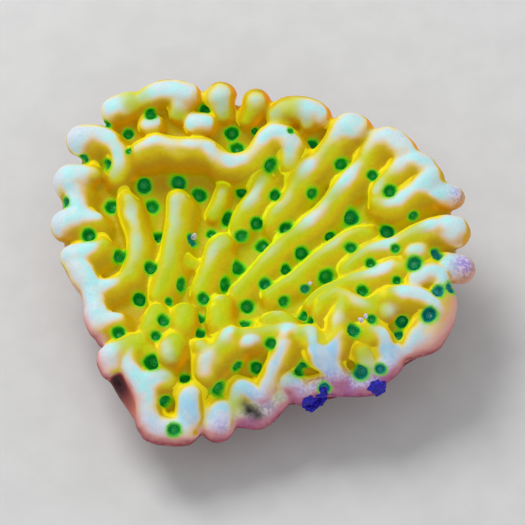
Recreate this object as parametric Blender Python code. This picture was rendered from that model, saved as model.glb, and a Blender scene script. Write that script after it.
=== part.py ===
"""A small plate of montipora coral: one grown piece, cut off flat under its stubby foot.

The plate is a shallow dish with a rounded margin. Round-topped ridges fan out over it and run on
past the margin as lobes, and in the valleys between them sit the cups of the polyps.
The dish, the ridges and the cups are placed where the photograph shows them: each is given by a
pixel of the 525 x 525 picture, and the line of sight through that pixel is followed to the coral.

Metres, +Z up, +X to the right of the picture, +Y away from the viewer. The flat cut is at z = 0.
"""

import math

import bmesh
import bpy
import numpy as np
from mathutils import Vector
from mathutils.bvhtree import BVHTree

MM = 0.001

# The picture
PIXEL = 0.08 * MM
PICTURE_MIDDLE = 262.5
VIEW_ELEVATION = math.radians(60)
VIEW_DISTANCE = 300 * MM
AIM_POINT = Vector((0.19 * MM, -0.57 * MM, 8.4 * MM))

# The plate
FOOT_RISE = 2.4 * MM
PLATE_THICKNESS = 2.2 * MM
MARGIN_SHARE = 0.93
UNDERSIDE_SHARE = 0.72
FOOT_SHARE = 0.42
FOOT_NECK_HEIGHT = 1.6 * MM
SPOKES = 96
TOP_RINGS = 22

# The surface
CAP_DEGREES = (25, 50, 70, 85)
SMOOTHING_LOSS = 0.20 * MM
APRON_RIDGE_RADIUS = 1.12 * MM
APRON_RIDGE_LIFT = 0.35
APRON_SIDE = Vector((0.53, -0.85, 0.0))
APRON_WIDTH = 1.45
APRON_SHIFT = 0.62
APRON_DROP = 0.28
APRON_REACH = 0.92
VOXEL = 0.30 * MM
SMOOTHING_STEPS = 5
CUP_RADIUS = 0.56 * MM
CUP_DEPTH = 0.42 * MM
TRIANGLE_BUDGET = 9400
CORAL_YELLOW = (0.80, 0.62, 0.03, 1.0)
CORAL_ROUGHNESS = 0.55

# Heights of the valley floors above the lowest of the margin: (pixel x, pixel y, millimetres)
FLOOR_SPOTS = [
    (240, 230, 4.6), (192, 245, 4.4), (150, 252, 4.6), (112, 206, 5.3), (90, 236, 5.3), (118, 256, 4.9),
    (144, 186, 5.4), (178, 184, 5.5), (200, 198, 5.0), (243, 192, 5.2), (150, 172, 6.2), (190, 172, 6.1),
    (150, 152, 7.2), (190, 152, 7.2), (230, 168, 6.3), (270, 166, 6.3), (108, 165, 6.4), (128, 136, 7.0),
    (170, 130, 6.9), (232, 132, 6.9), (254, 128, 7.2), (291, 129, 7.4), (85, 145, 6.5), (106, 124, 7.0),
    (117, 106, 7.6), (150, 98, 8.2), (180, 98, 8.5), (222, 98, 8.5), (255, 103, 8.3), (295, 108, 8.4),
    (311, 145, 6.8), (341, 164, 6.6), (345, 128, 7.6), (313, 193, 5.6), (350, 217, 5.6), (373, 174, 6.8),
    (389, 190, 6.8), (385, 142, 7.4), (425, 172, 7.0), (413, 215, 6.6), (387, 231, 5.9), (435, 253, 6.2),
    (413, 262, 6.0), (369, 263, 5.4), (326, 275, 4.6), (302, 253, 4.7), (266, 284, 4.2), (246, 305, 4.0),
    (224, 284, 4.1), (203, 297, 4.0), (182, 285, 4.2), (151, 267, 4.5), (138, 300, 4.3), (245, 323, 4.6),
    (304, 315, 4.6), (170, 302, 4.2), (155, 336, 5.0), (200, 335, 5.0), (240, 337, 5.8), (290, 336, 5.8),
    (325, 336, 5.8), (362, 291, 5.2), (397, 280, 5.6), (437, 290, 5.6), (371, 319, 5.6), (402, 321, 5.5),
    (430, 315, 5.4), (353, 328, 5.6), (399, 337, 5.0), (271, 343, 5.2), (237, 366, 4.2), (256, 366, 4.2),
    (300, 368, 4.2), (361, 371, 3.6), (381, 369, 3.5), (219, 387, 3.4), (186, 380, 4.2), (165, 400, 3.2),
    (173, 427, 2.0), (150, 361, 4.8), (222, 430, 1.6), (265, 402, 2.2), (303, 396, 2.2), (345, 390, 2.4),
    (385, 378, 2.8), (420, 350, 3.6), (445, 325, 4.6), (60, 180, 5.4), (55, 220, 5.0), (65, 255, 4.6),
    (76, 280, 4.4), (88, 315, 4.0), (118, 333, 4.2), (102, 356, 3.8), (130, 400, 2.6), (455, 200, 6.2),
    (460, 235, 5.7), (462, 270, 5.0), (452, 295, 4.8),
]
FLOOR_STIFFNESS = 4e-4

# The plate's own margin, where the notches between the lobes show it
MARGIN_PIXELS = [
    (66, 204), (64, 180), (80, 158), (88, 140), (99, 126), (114, 108), (138, 96), (170, 92), (204, 95),
    (240, 99), (271, 105), (304, 110), (331, 121), (352, 126), (371, 133), (391, 142), (410, 153),
    (424, 166), (439, 184), (449, 200), (454, 214), (458, 233), (456, 252), (452, 270), (448, 290),
    (447, 306), (443, 324), (430, 342), (408, 356), (392, 368), (378, 380), (352, 386), (325, 392),
    (290, 398), (262, 403), (236, 416), (204, 427), (180, 433), (150, 424), (139, 403), (125, 379),
    (110, 361), (104, 340), (88, 300), (76, 280), (64, 246), (62, 224),
]

# Ridges and lobes: the crest line in pixels with the half width at each point, and the lift of the
# round crest's middle over the floor, in millimetres
RIDGES = {
    "back left lobe": ([(114, 107, 14.5), (127, 102, 13.5)], 0.3),
    "back rim": ([(145, 97, 11), (158, 92, 12), (172, 91, 12), (188, 94, 11.5)], 0.35),
    "back rim spur": ([(178, 96, 11), (178, 106, 10), (177, 113, 8)], 0.3),
    "second back lobe": ([(221, 97, 15.5), (223, 105, 11), (226, 114, 8)], 0.3),
    "third back lobe": ([(255, 102, 13), (250, 111, 10), (246, 119, 8)], 0.3),
    "fourth back lobe": (
        [(275, 115, 8), (283, 109, 11), (297, 108, 12), (311, 110, 12), (319, 115, 11)], 0.3),
    "fourth back lobe spur": ([(313, 112, 10), (309, 122, 8)], 0.3),
    "long ridge from the fifth lobe": (
        [(357, 127, 14.5), (347, 126, 15), (336, 136, 10.5), (327, 148, 9.5), (319, 157, 9.5),
         (310, 165, 9), (302, 174, 9), (296, 184, 8.5), (290, 195, 8), (282, 205, 7.5), (275, 212, 7),
         (270, 220, 6.5)], 0.45),
    "long ridge from the sixth lobe": (
        [(403, 146, 13.5), (388, 136, 13.5), (377, 139, 10.5), (369, 149, 9.5), (362, 162, 9),
         (350, 174, 9), (340, 184, 9), (332, 196, 9), (322, 208, 9), (311, 218, 9), (300, 228, 8.5),
         (288, 236, 8.5), (277, 246, 8.5), (268, 256, 8.5), (258, 266, 8.5), (248, 277, 8.5),
         (237, 288, 8)], 0.45),
    "loop, outer arm": (
        [(426, 163, 11.5), (412, 158, 13), (401, 163, 10), (392, 171, 9), (384, 180, 8.5),
         (377, 191, 8)], 0.5),
    "loop, inner arm": (
        [(376, 199, 8), (385, 203, 8), (395, 201, 8.5), (404, 195, 8.5), (416, 187, 9),
         (432, 173, 14)], 0.5),
    "right lobe": ([(437, 186, 12), (447, 190, 11.5), (456, 193, 10.5)], 0.25),
    "ridge to the second right lobe": (
        [(460, 225, 15), (449, 222, 12.5), (438, 222, 9.5), (427, 225, 9), (415, 230, 9),
         (404, 236, 9), (392, 242, 8.5), (379, 244, 8), (367, 249, 8), (355, 257, 7.5),
         (345, 266, 7)], 0.45),
    "middle ridge": (
        [(367, 230, 7.5), (358, 230, 8), (348, 234, 8.5), (338, 241, 8.5), (328, 248, 8.5),
         (318, 255, 8.5), (309, 263, 8.5), (299, 271, 8), (288, 279, 8), (278, 285, 7.5),
         (269, 291, 7)], 0.45),
    "lower middle ridge": (
        [(400, 265, 7.5), (391, 264, 8), (381, 268, 8), (369, 272, 8), (356, 275, 8), (345, 279, 8),
         (335, 283, 7.5), (325, 287, 7.5), (316, 293, 7), (309, 300, 7)], 0.4),
    "right knob": ([(412, 249, 10), (418, 249, 10)], 0.4),
    "ridge end on the right": (
        [(416, 276, 8), (427, 271, 9), (438, 270, 9), (444, 276, 9), (444, 287, 8)], 0.4),
    "low right lobe": ([(453, 261, 11), (467, 265, 13)], 0.1),
    "arched ridge": (
        [(317, 308, 7), (320, 299, 8), (328, 292, 8), (338, 289, 8.5), (348, 294, 8.5), (359, 300, 8),
         (373, 304, 8)], 0.5),
    "arched ridge spur": ([(345, 295, 8), (342, 304, 8), (338, 315, 9), (336, 327, 8)], 0.45),
    "right arch": (
        [(372, 299, 7.5), (381, 293, 8), (391, 290, 8.5), (402, 290, 9), (414, 291, 9), (425, 295, 9),
         (435, 302, 9), (443, 310, 9), (447, 318, 8)], 0.45),
    "right edge": (
        [(449, 293, 12.5), (449, 307, 12.5), (444, 321, 13.5), (431, 339, 15.5),
         (418, 346, 13.5)], 0.1),
    "right edge spur": ([(425, 326, 10), (419, 336, 11), (414, 348, 11)], 0.3),
    "small triangle": ([(385, 306, 8), (387, 310, 8)], 0.3),
    "front right lobe": ([(396, 352, 10), (394, 363, 13), (384, 372, 13)], 0.15),
    "front right ridge": (
        [(364, 331, 8), (374, 330, 8.5), (383, 335, 8.5), (388, 344, 8.5), (392, 354, 9)], 0.35),
    "third front prong": ([(362, 352, 8), (368, 363, 8.5), (372, 374, 9)], 0.5),
    "front right margin": ([(375, 385, 12), (358, 387, 12), (341, 388, 11.5)], 0.3),
    "forked front ridge": (
        [(304, 338, 7), (311, 344, 10), (320, 351, 11), (328, 361, 11), (335, 371, 10),
         (341, 381, 11)], 0.6),
    "fork": ([(341, 333, 8), (337, 343, 9.5), (330, 352, 10)], 0.6),
    "front ridge": (
        [(289, 329, 8), (286, 340, 8.5), (282, 351, 9), (277, 363, 9), (272, 375, 9), (267, 387, 9.5),
         (263, 399, 10)], 0.4),
    "front lip": ([(289, 381, 10), (298, 389, 11), (303, 397, 12)], 0.45),
    "front edge": ([(305, 394, 11), (320, 389, 10), (341, 387, 11)], 0.2),
    "lower front margin": ([(278, 403, 11), (263, 415, 13.5), (247, 415, 13)], 0.2),
    "crest band": (
        [(236, 332, 6.5), (250, 331, 7), (265, 329, 6), (280, 327, 6.5), (292, 327, 7),
         (300, 333, 7)], 0.35),
    "crest band, right part": ([(307, 339, 7), (318, 342, 8), (329, 339, 7), (338, 330, 8)], 0.3),
    "white knob": ([(254, 338, 9), (248, 344, 10)], 0.3),
    "slanted front ridge": (
        [(230, 331, 9), (225, 340, 10), (217, 348, 10), (208, 357, 10.5), (205, 367, 10)], 0.4),
    "little front knob": ([(200, 344, 8.5), (205, 347, 8.5)], 0.35),
    "oval front knob": ([(174, 338, 13), (170, 351, 14)], 0.35),
    "left inner knob": ([(156, 306, 11), (151, 316, 11.5), (148, 323, 10)], 0.35),
    "middle inner knob": ([(184, 306, 13), (183, 319, 12)], 0.35),
    "right inner knob": ([(222, 297, 12), (219, 309, 12), (217, 319, 10)], 0.35),
    "low dome": ([(268, 314, 9), (278, 312, 9.5), (288, 316, 8)], 0.35),
    "left front ridge": (
        [(136, 336, 8), (132, 348, 8.5), (129, 361, 9), (132, 374, 9.5), (139, 386, 10),
         (144, 400, 12), (147, 414, 14), (152, 428, 15), (171, 432, 14), (184, 432, 14)], 0.4),
    "left front spur": ([(137, 379, 9), (147, 380, 8.5), (158, 376, 8), (166, 377, 7)], 0.35),
    "knob over the spur": ([(140, 342, 9), (146, 348, 8)], 0.3),
    "front oval": ([(190, 397, 12), (191, 410, 13), (190, 422, 12)], 0.4),
    "front lobe": ([(222, 410, 12.5), (223, 420, 14), (221, 427, 15)], 0.25),
    "front hook": ([(241, 387, 8.5), (250, 390, 8), (258, 395, 8), (264, 402, 9)], 0.35),
    "front hook leg": ([(238, 389, 8), (236, 402, 8), (235, 414, 8)], 0.3),
    "upper left lobe": (
        [(79, 135, 14.5), (92, 132, 11.5), (101, 133, 9.5), (109, 137, 9), (115, 145, 8.5),
         (119, 154, 8.5), (119, 164, 8), (115, 172, 7.5)], 0.45),
    "back wall": (
        [(138, 148, 9), (146, 144, 9.5), (156, 140, 9.5), (166, 142, 9.5), (176, 144, 9.5),
         (188, 144, 9.5), (201, 144, 9.5), (211, 147, 9), (217, 155, 9), (225, 160, 9), (236, 161, 9),
         (247, 158, 9), (255, 151, 9), (261, 143, 9), (267, 135, 9.5), (276, 131, 9.5),
         (286, 135, 9.5), (292, 143, 9), (291, 152, 8.5), (288, 161, 8)], 0.75),
    "left knob behind the wall": ([(149, 122, 10), (153, 122, 10)], 0.2),
    "right knob behind the wall": ([(194, 121, 10), (206, 122, 10)], 0.3),
    "left lobe": ([(68, 175, 17.5), (79, 173, 13), (91, 171, 9)], 0.25),
    "left lobe bridge": ([(74, 184, 9.5), (75, 196, 9), (77, 209, 9)], 0.35),
    "second left lobe": ([(65, 218, 16), (73, 217, 12.5), (82, 214, 10), (95, 217, 9)], 0.35),
    "third left lobe": ([(71, 252, 12), (82, 250, 10), (92, 247, 9.5), (103, 242, 8.5)], 0.35),
    "left bank": (
        [(75, 261, 11.5), (84, 274, 12.5), (91, 286, 10.5), (94, 298, 10.5), (95, 309, 12),
         (97, 320, 11)], 0.3),
    "left bank hook": ([(96, 316, 10), (106, 318, 10), (116, 317, 8.5)], 0.35),
    "left bank spur": ([(100, 285, 8), (112, 283, 8), (122, 277, 7.5), (130, 270, 7.5)], 0.35),
    "front left lobe": ([(108, 367, 10), (106, 355, 12.5), (117, 347, 11), (130, 338, 9)], 0.3),
    "lower left margin": ([(118, 379, 8.5), (128, 396, 9.5), (141, 413, 10)], -0.1),
    "first left ridge": (
        [(128, 198, 9), (130, 209, 9), (134, 220, 9), (138, 233, 9), (138, 246, 9), (135, 259, 9),
         (130, 271, 8.5)], 0.4),
    "second left ridge": (
        [(178, 198, 10.5), (178, 208, 10), (176, 219, 9), (174, 232, 9), (172, 246, 9.5),
         (169, 259, 9.5), (165, 271, 9.5), (160, 283, 9), (157, 292, 8)], 0.45),
    "pip": ([(189, 261, 5.5), (193, 261, 5.5)], 0.15),
    "third left ridge": (
        [(221, 240, 12.5), (216, 248, 11.5), (212, 258, 9.5), (208, 268, 9), (203, 279, 8.5),
         (199, 288, 8)], 0.4),
    "faint ridge": ([(223, 192, 7), (219, 203, 7.5), (213, 213, 7)], 0.1),
    "ridge below the arch": (
        [(264, 179, 8), (259, 189, 8), (252, 198, 8), (245, 207, 8), (240, 216, 8),
         (237, 224, 7)], 0.35),
}

# The polyps' cups, in pixels
CUPS = [
    (107, 124), (128, 135), (129, 150), (152, 114), (108, 165), (84, 157), (238, 148), (232, 132),
    (206, 111), (254, 130), (270, 166), (311, 145), (292, 129), (341, 164), (66, 203), (112, 206),
    (144, 185), (153, 206), (159, 239), (90, 235), (118, 256), (178, 182), (199, 197), (243, 191),
    (228, 218), (257, 223), (242, 237), (212, 234), (193, 240), (262, 246), (276, 194), (313, 193),
    (287, 227), (350, 217), (330, 236), (302, 253), (350, 248), (373, 174), (389, 190), (413, 216),
    (387, 231), (395, 248), (413, 262), (435, 254), (151, 266), (138, 300), (163, 320), (118, 333),
    (156, 335), (182, 285), (170, 300), (204, 297), (224, 284), (237, 266), (200, 318), (266, 284),
    (246, 305), (245, 323), (200, 335), (271, 343), (286, 269), (305, 288), (326, 275), (283, 302),
    (304, 315), (310, 323), (362, 291), (353, 328), (371, 319), (369, 263), (397, 280), (437, 290),
    (430, 315), (402, 321), (399, 337), (151, 361), (165, 400), (186, 380), (219, 387), (237, 366),
    (256, 366), (173, 427), (300, 368), (361, 371), (381, 369), (324, 390),
]


def line_of_sight(pixel_x, pixel_y):
    """The viewer's eye, and the direction in which it sees a pixel of the picture."""
    back = Vector((0.0, -math.cos(VIEW_ELEVATION), math.sin(VIEW_ELEVATION)))
    up = Vector((0.0, math.sin(VIEW_ELEVATION), math.cos(VIEW_ELEVATION)))
    eye = AIM_POINT + back * VIEW_DISTANCE
    right = Vector((1.0, 0.0, 0.0))
    seen = AIM_POINT + (right * (pixel_x - PICTURE_MIDDLE) + up * (PICTURE_MIDDLE - pixel_y)) * PIXEL
    return eye, (seen - eye).normalized()


def at_height(pixel_x, pixel_y, height):
    """Where the line of sight through a pixel comes down to a height."""
    eye, direction = line_of_sight(pixel_x, pixel_y)
    return eye + direction * ((height - eye.z) / direction.z)


class Dish:
    """The floor of the valleys: a thin bending sheet through the spot heights."""

    def __init__(self, spots, stiffness):
        points = [at_height(x, y, FOOT_RISE + high * MM) for x, y, high in spots]
        self.knots = np.array([(p.x, p.y) for p in points]) / MM
        heights = np.array([p.z for p in points]) / MM
        count = len(points)
        flat = np.column_stack([np.ones(count), self.knots])
        system = np.zeros((count + 3, count + 3))
        system[:count, :count] = self.bending(self.knots) + np.eye(count) * stiffness * count**2
        system[:count, count:] = flat
        system[count:, :count] = flat.T
        self.weights = np.linalg.solve(system, np.concatenate([heights, np.zeros(3)]))

    def bending(self, places):
        squared = ((places[:, None, :] - self.knots[None, :, :]) ** 2).sum(-1)
        return squared * np.log(np.maximum(squared, 1e-12)) / 2

    def heights(self, places):
        """Heights in metres under an array of (x, y) in metres."""
        places = np.atleast_2d(places) / MM
        count = len(self.knots)
        bent = self.bending(places) @ self.weights[:count]
        return (bent + self.weights[count] + places @ self.weights[count + 1 :]) * MM

    def floor(self, x, y):
        """The floor point under (x, y), and the floor's upward normal there."""
        step = 0.2 * MM
        middle, right, behind = self.heights(np.array([(x, y), (x + step, y), (x, y + step)]))
        normal = Vector((-(right - middle) / step, -(behind - middle) / step, 1.0)).normalized()
        return Vector((x, y, middle)), normal

    def seen_at(self, pixel_x, pixel_y, rise=0.0):
        """The floor point whose raised crest shows at a pixel, and the normal there."""
        place = at_height(pixel_x, pixel_y, FOOT_RISE + 5.0 * MM)
        for _ in range(12):
            foot, normal = self.floor(place.x, place.y)
            crest = foot + normal * rise
            wanted = at_height(pixel_x, pixel_y, crest.z)
            place = place + (wanted - crest)
        return self.floor(place.x, place.y)


def smooth_path(points, spacing):
    """Points spaced evenly on a Catmull-Rom curve through the given ones."""
    points = [Vector(p) for p in points]
    if len(points) == 1:
        return points
    ends = [points[0] * 2 - points[1]] + points + [points[-1] * 2 - points[-2]]
    path = []
    for before, start, end, after in zip(ends, ends[1:], ends[2:], ends[3:]):
        pieces = max(1, math.ceil((end - start).length / spacing))
        for piece in range(pieces):
            t = piece / pieces
            path.append(round_curve_point(before, start, end, after, t))
    return path + [points[-1]]


def clear_scene():
    for obj in list(bpy.data.objects):
        bpy.data.objects.remove(obj)


def add_object(name, data):
    obj = bpy.data.objects.new(name, data)
    bpy.context.scene.collection.objects.link(obj)
    return obj


def round_curve_point(before, start, end, after, t):
    """A point on the Catmull-Rom curve from start to end."""
    return 0.5 * (2 * start + (end - before) * t + (2 * before - 5 * start + 4 * end - after) * t**2
                  + (3 * start - before - 3 * end + after) * t**3)


class Margin:
    """The plate's margin in plan, as an even ring of spokes round its middle."""

    def __init__(self, dish):
        traced = [dish.seen_at(x, y)[0] for x, y in MARGIN_PIXELS]
        count = len(traced)
        ring = []
        for spoke in range(SPOKES):
            index, t = divmod(spoke * count / SPOKES, 1)
            near = [traced[(int(index) + k) % count] for k in (-1, 0, 1, 2)]
            ring.append(round_curve_point(*near, t).xy)
        self.ring = np.array(ring)
        self.middle = self.ring.mean(axis=0)
        reach = self.ring - self.middle
        turns = np.arctan2(reach[:, 1], reach[:, 0])
        order = np.argsort(turns)
        self.turns = turns[order]
        self.reaches = np.linalg.norm(reach, axis=1)[order]

    def share(self, place):
        """How far out a place lies: 0 in the middle, 1 on the margin."""
        x, y = place[0] - self.middle[0], place[1] - self.middle[1]
        reach = np.interp(math.atan2(y, x), self.turns, self.reaches, period=2 * math.pi)
        return math.hypot(x, y) / reach


def plate_rings(dish, margin):
    """The plate as rings from the middle of its top, round the margin, to the edge of the flat cut."""
    middle = margin.middle
    rings = []

    def ring(share, height_of):
        places = middle + (margin.ring - middle) * share
        rings.append(np.column_stack([places, height_of(places)]))

    for step in range(1, TOP_RINGS + 1):
        ring(MARGIN_SHARE * step / TOP_RINGS, dish.heights)
    half = PLATE_THICKNESS / 2
    for degrees in (60, 30, 0, -30, -60, -90):
        turn = math.radians(degrees)
        ring(MARGIN_SHARE + (1 - MARGIN_SHARE) * math.cos(turn),
             lambda places, sink=half * (1 - math.sin(turn)): dish.heights(places) - sink)
    for step in range(1, 9):
        way = step / 8
        share = MARGIN_SHARE + (UNDERSIDE_SHARE * 0.6 - MARGIN_SHARE) * way
        ease = way**1.5
        ring(share, lambda places, e=ease: (dish.heights(places) - PLATE_THICKNESS) * (1 - e)
             + FOOT_NECK_HEIGHT * e)
    ring(FOOT_SHARE, lambda places: np.full(len(places), FOOT_NECK_HEIGHT * 0.5))
    ring(FOOT_SHARE, lambda places: np.zeros(len(places)))
    top = np.array([*middle, dish.heights(middle)[0]])
    return top, rings


def build_plate(dish, margin):
    """The bare plate and foot, lofted from its rings."""
    top, rings = plate_rings(dish, margin)
    form = bmesh.new()
    middle = form.verts.new(top)
    loops = [[form.verts.new(point) for point in ring] for ring in rings]
    for spoke in range(SPOKES):
        form.faces.new((middle, loops[0][spoke], loops[0][(spoke + 1) % SPOKES]))
    for inner, outer in zip(loops, loops[1:]):
        for spoke in range(SPOKES):
            after = (spoke + 1) % SPOKES
            form.faces.new((inner[spoke], outer[spoke], outer[after], inner[after]))
    form.faces.new(reversed(loops[-1]))
    bmesh.ops.recalc_face_normals(form, faces=form.faces)
    mesh = bpy.data.meshes.new("plate")
    form.to_mesh(mesh)
    form.free()
    return add_object("plate", mesh)


def ridge_stations(dish, crest, lift):
    """The middle and radius of the round ridge at even steps along its crest line."""
    stations = []
    for pixel_x, pixel_y, half_width in smooth_path(crest, 5.0):
        radius = half_width * PIXEL + SMOOTHING_LOSS
        foot, normal = dish.seen_at(pixel_x, pixel_y, radius + lift)
        stations.append((foot + normal * lift, radius))
    return stations


def apron_stations(margin, stations):
    """The apron of an inner ridge: a wider, lower tube that makes its front right side slope gently."""
    aprons = [[]]
    for middle, radius in stations:
        shift = APRON_SIDE * (APRON_SHIFT * radius)
        if radius > APRON_RIDGE_RADIUS or margin.share(middle + shift * 3) > APRON_REACH:
            aprons.append([])
            continue
        drop = Vector((0.0, 0.0, radius * (APRON_WIDTH - 1 + APRON_DROP)))
        aprons[-1].append((middle + shift - drop, radius * APRON_WIDTH))
    return [apron for apron in aprons if len(apron) > 2]


def build_tube(name, stations):
    """A round tube with round ends along its stations."""
    for first in (True, False):
        (end, radius), (inner, _) = stations[:2] if first else stations[:-3:-1]
        outward = (end - inner).normalized()
        cap = [(end + outward * radius * math.sin(math.radians(a)), radius * math.cos(math.radians(a)))
               for a in CAP_DEGREES]
        stations = cap[::-1] + stations if first else stations + cap
    curve = bpy.data.curves.new(name, "CURVE")
    curve.dimensions = "3D"
    curve.bevel_depth = 1.0
    curve.bevel_resolution = 4
    curve.use_fill_caps = True
    spline = curve.splines.new("POLY")
    spline.points.add(len(stations) - 1)
    for point, (place, radius) in zip(spline.points, stations):
        point.co = (*place, 1.0)
        point.radius = radius
    return add_object(name, curve)


def evaluated_mesh(obj):
    graph = bpy.context.evaluated_depsgraph_get()
    return bpy.data.meshes.new_from_object(obj.evaluated_get(graph))


def join_all(objects, name):
    """One mesh object that holds every given object's faces."""
    form = bmesh.new()
    bpy.context.view_layer.update()
    for obj in objects:
        mesh = evaluated_mesh(obj)
        form.from_mesh(mesh)
        bpy.data.meshes.remove(mesh)
    mesh = bpy.data.meshes.new(name)
    form.to_mesh(mesh)
    form.free()
    for obj in objects:
        bpy.data.objects.remove(obj)
    return add_object(name, mesh)


def grow_together(body):
    """Melts the plate and ridges into one skin with soft hollows between them."""
    remesh = body.modifiers.new("one skin", "REMESH")
    remesh.mode = "VOXEL"
    remesh.voxel_size = VOXEL
    smooth = body.modifiers.new("soft hollows", "SMOOTH")
    smooth.factor = 0.5
    smooth.iterations = SMOOTHING_STEPS
    bpy.context.view_layer.update()
    mesh = evaluated_mesh(body)
    body.modifiers.clear()
    body.data = mesh


def press_cups(body):
    """Presses each polyp's cup into the skin, where the line of sight through its pixel meets it."""
    mesh = body.data
    count = len(mesh.vertices)
    places = np.empty(count * 3)
    normals = np.empty(count * 3)
    mesh.vertices.foreach_get("co", places)
    mesh.vertices.foreach_get("normal", normals)
    places = places.reshape(-1, 3)
    normals = normals.reshape(-1, 3)
    skin = BVHTree.FromObject(body, bpy.context.evaluated_depsgraph_get())
    pressed = np.zeros(count)
    for pixel_x, pixel_y in CUPS:
        hit = skin.ray_cast(*line_of_sight(pixel_x, pixel_y))[0]
        away = np.linalg.norm(places - np.array(hit), axis=1) / CUP_RADIUS
        pressed = np.maximum(pressed, np.clip(1 - away**2, 0, 1) ** 0.8)
    places -= normals * (pressed * CUP_DEPTH)[:, None]
    mesh.vertices.foreach_set("co", places.ravel())
    mesh.update()


def flatten_cut(body):
    """Levels the cut under the foot to z = 0."""
    form = bmesh.new()
    form.from_mesh(body.data)
    level = 0.12 * MM
    result = bmesh.ops.bisect_plane(
        form, geom=form.verts[:] + form.edges[:] + form.faces[:],
        plane_co=(0, 0, level), plane_no=(0, 0, -1), clear_outer=True)
    edges = [item for item in result["geom_cut"] if isinstance(item, bmesh.types.BMEdge)]
    bmesh.ops.contextual_create(form, geom=edges)
    for vert in form.verts:
        vert.co.z -= level
    bmesh.ops.recalc_face_normals(form, faces=form.faces)
    form.to_mesh(body.data)
    form.free()


def coral_material():
    material = bpy.data.materials.new("coral tissue")
    material.use_nodes = True
    shader = material.node_tree.nodes["Principled BSDF"]
    shader.inputs["Base Color"].default_value = CORAL_YELLOW
    shader.inputs["Roughness"].default_value = CORAL_ROUGHNESS
    return material


def main():
    clear_scene()
    dish = Dish(FLOOR_SPOTS, FLOOR_STIFFNESS)
    margin = Margin(dish)
    pieces = [build_plate(dish, margin)]
    for name, (crest, lift) in RIDGES.items():
        stations = ridge_stations(dish, crest, lift * MM)
        pieces.append(build_tube(name, stations))
        if lift >= APRON_RIDGE_LIFT:
            pieces += [build_tube(name + " apron", apron) for apron in apron_stations(margin, stations)]
    coral = join_all(pieces, "montipora_plate")
    grow_together(coral)
    press_cups(coral)
    flatten_cut(coral)
    thin = coral.modifiers.new("fewer faces", "DECIMATE")
    thin.ratio = min(1.0, TRIANGLE_BUDGET / (2 * len(coral.data.polygons)))
    coral.data.materials.append(coral_material())
    coral.data.shade_smooth()


main()
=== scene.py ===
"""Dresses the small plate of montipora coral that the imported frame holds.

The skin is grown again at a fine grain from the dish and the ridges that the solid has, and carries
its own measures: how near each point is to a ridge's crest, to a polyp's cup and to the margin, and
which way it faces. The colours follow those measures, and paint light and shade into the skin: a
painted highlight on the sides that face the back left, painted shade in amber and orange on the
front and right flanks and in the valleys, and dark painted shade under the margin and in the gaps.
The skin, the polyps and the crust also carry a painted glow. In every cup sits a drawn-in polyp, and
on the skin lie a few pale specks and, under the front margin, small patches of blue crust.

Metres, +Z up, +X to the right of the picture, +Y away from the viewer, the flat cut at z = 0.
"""

import math

import bmesh
import bpy
import numpy as np
from mathutils import Matrix, Vector, noise
from mathutils.bvhtree import BVHTree


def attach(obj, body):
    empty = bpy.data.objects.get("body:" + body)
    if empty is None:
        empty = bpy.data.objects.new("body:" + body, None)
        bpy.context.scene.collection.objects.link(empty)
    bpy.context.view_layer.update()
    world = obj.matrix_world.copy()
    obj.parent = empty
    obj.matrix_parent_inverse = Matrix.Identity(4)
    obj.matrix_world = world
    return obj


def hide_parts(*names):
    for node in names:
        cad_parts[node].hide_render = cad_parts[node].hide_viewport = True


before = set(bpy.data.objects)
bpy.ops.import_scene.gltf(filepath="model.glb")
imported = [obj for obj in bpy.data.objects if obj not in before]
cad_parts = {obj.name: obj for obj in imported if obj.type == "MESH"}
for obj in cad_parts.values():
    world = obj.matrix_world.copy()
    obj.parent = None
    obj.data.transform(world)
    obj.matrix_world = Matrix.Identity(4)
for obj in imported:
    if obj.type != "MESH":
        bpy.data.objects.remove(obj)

MM = 0.001

# The picture
PIXEL = 0.08 * MM
PICTURE_SIDE = 525
PICTURE_MIDDLE = 262.5
VIEW_ELEVATION = math.radians(60)
VIEW_DISTANCE = 300 * MM
AIM_POINT = Vector((0.19 * MM, -0.57 * MM, 8.4 * MM))
SENSOR_WIDTH = 36.0

# The plate: CUT_LEVEL is cut off its foot, and what then lies lower than CUT_LAYER is the cut
FOOT_RISE = 2.4 * MM
PLATE_THICKNESS = 2.2 * MM
MARGIN_SHARE = 0.93
UNDERSIDE_SHARE = 0.72
FOOT_SHARE = 0.42
FOOT_NECK_HEIGHT = 1.6 * MM
SPOKES = 96
TOP_RINGS = 22
CUT_LEVEL = 0.12 * MM
CUT_LAYER = 0.01 * MM

# The skin
CAP_DEGREES = (25, 50, 70, 85)
RIDGE_GROWTH = 0.20 * MM
APRON_RIDGE_RADIUS = 1.12 * MM
APRON_RIDGE_LIFT = 0.35
APRON_SIDE = Vector((0.53, -0.85, 0.0))
APRON_WIDTH = 1.45
APRON_SHIFT = 0.62
APRON_DROP = 0.28
APRON_REACH = 0.92
SKIN_GRAIN = 0.18 * MM
SKIN_SMOOTHING = 12
SWELLS = (("broad swells", 2.2 * MM, 0.16 * MM), ("small swells", 0.8 * MM, 0.07 * MM))
CUP_PIXELS = 13.0
CUP_DEPTH = 0.42 * MM
LIP_HEIGHT = 0.05 * MM
CUP_UNEVENNESS = 0.3
CUP_UNEVEN_GRAIN = 1.0 * MM

# The measures: how many points are measured at a time, how fast a crest's say fades with the gap to it,
# how far out the floor's own height is read, and the way that faces look which get a painted highlight from
# the back left
BATCH = 4000
CREST_FADING = 5
FLOOR_REACH = 0.97
PAINTED_HIGHLIGHT_SIDE = (-0.35, 0.8, 0.49)

# The margin's pink blush, which darkens into painted shade as the rim turns under, from the slant at which it
# starts to that where it is deepest, in degrees
RIM_BLUSH_AND_SHADE_FROM = 28
RIM_BLUSH_AND_SHADE_TO = 125

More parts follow.
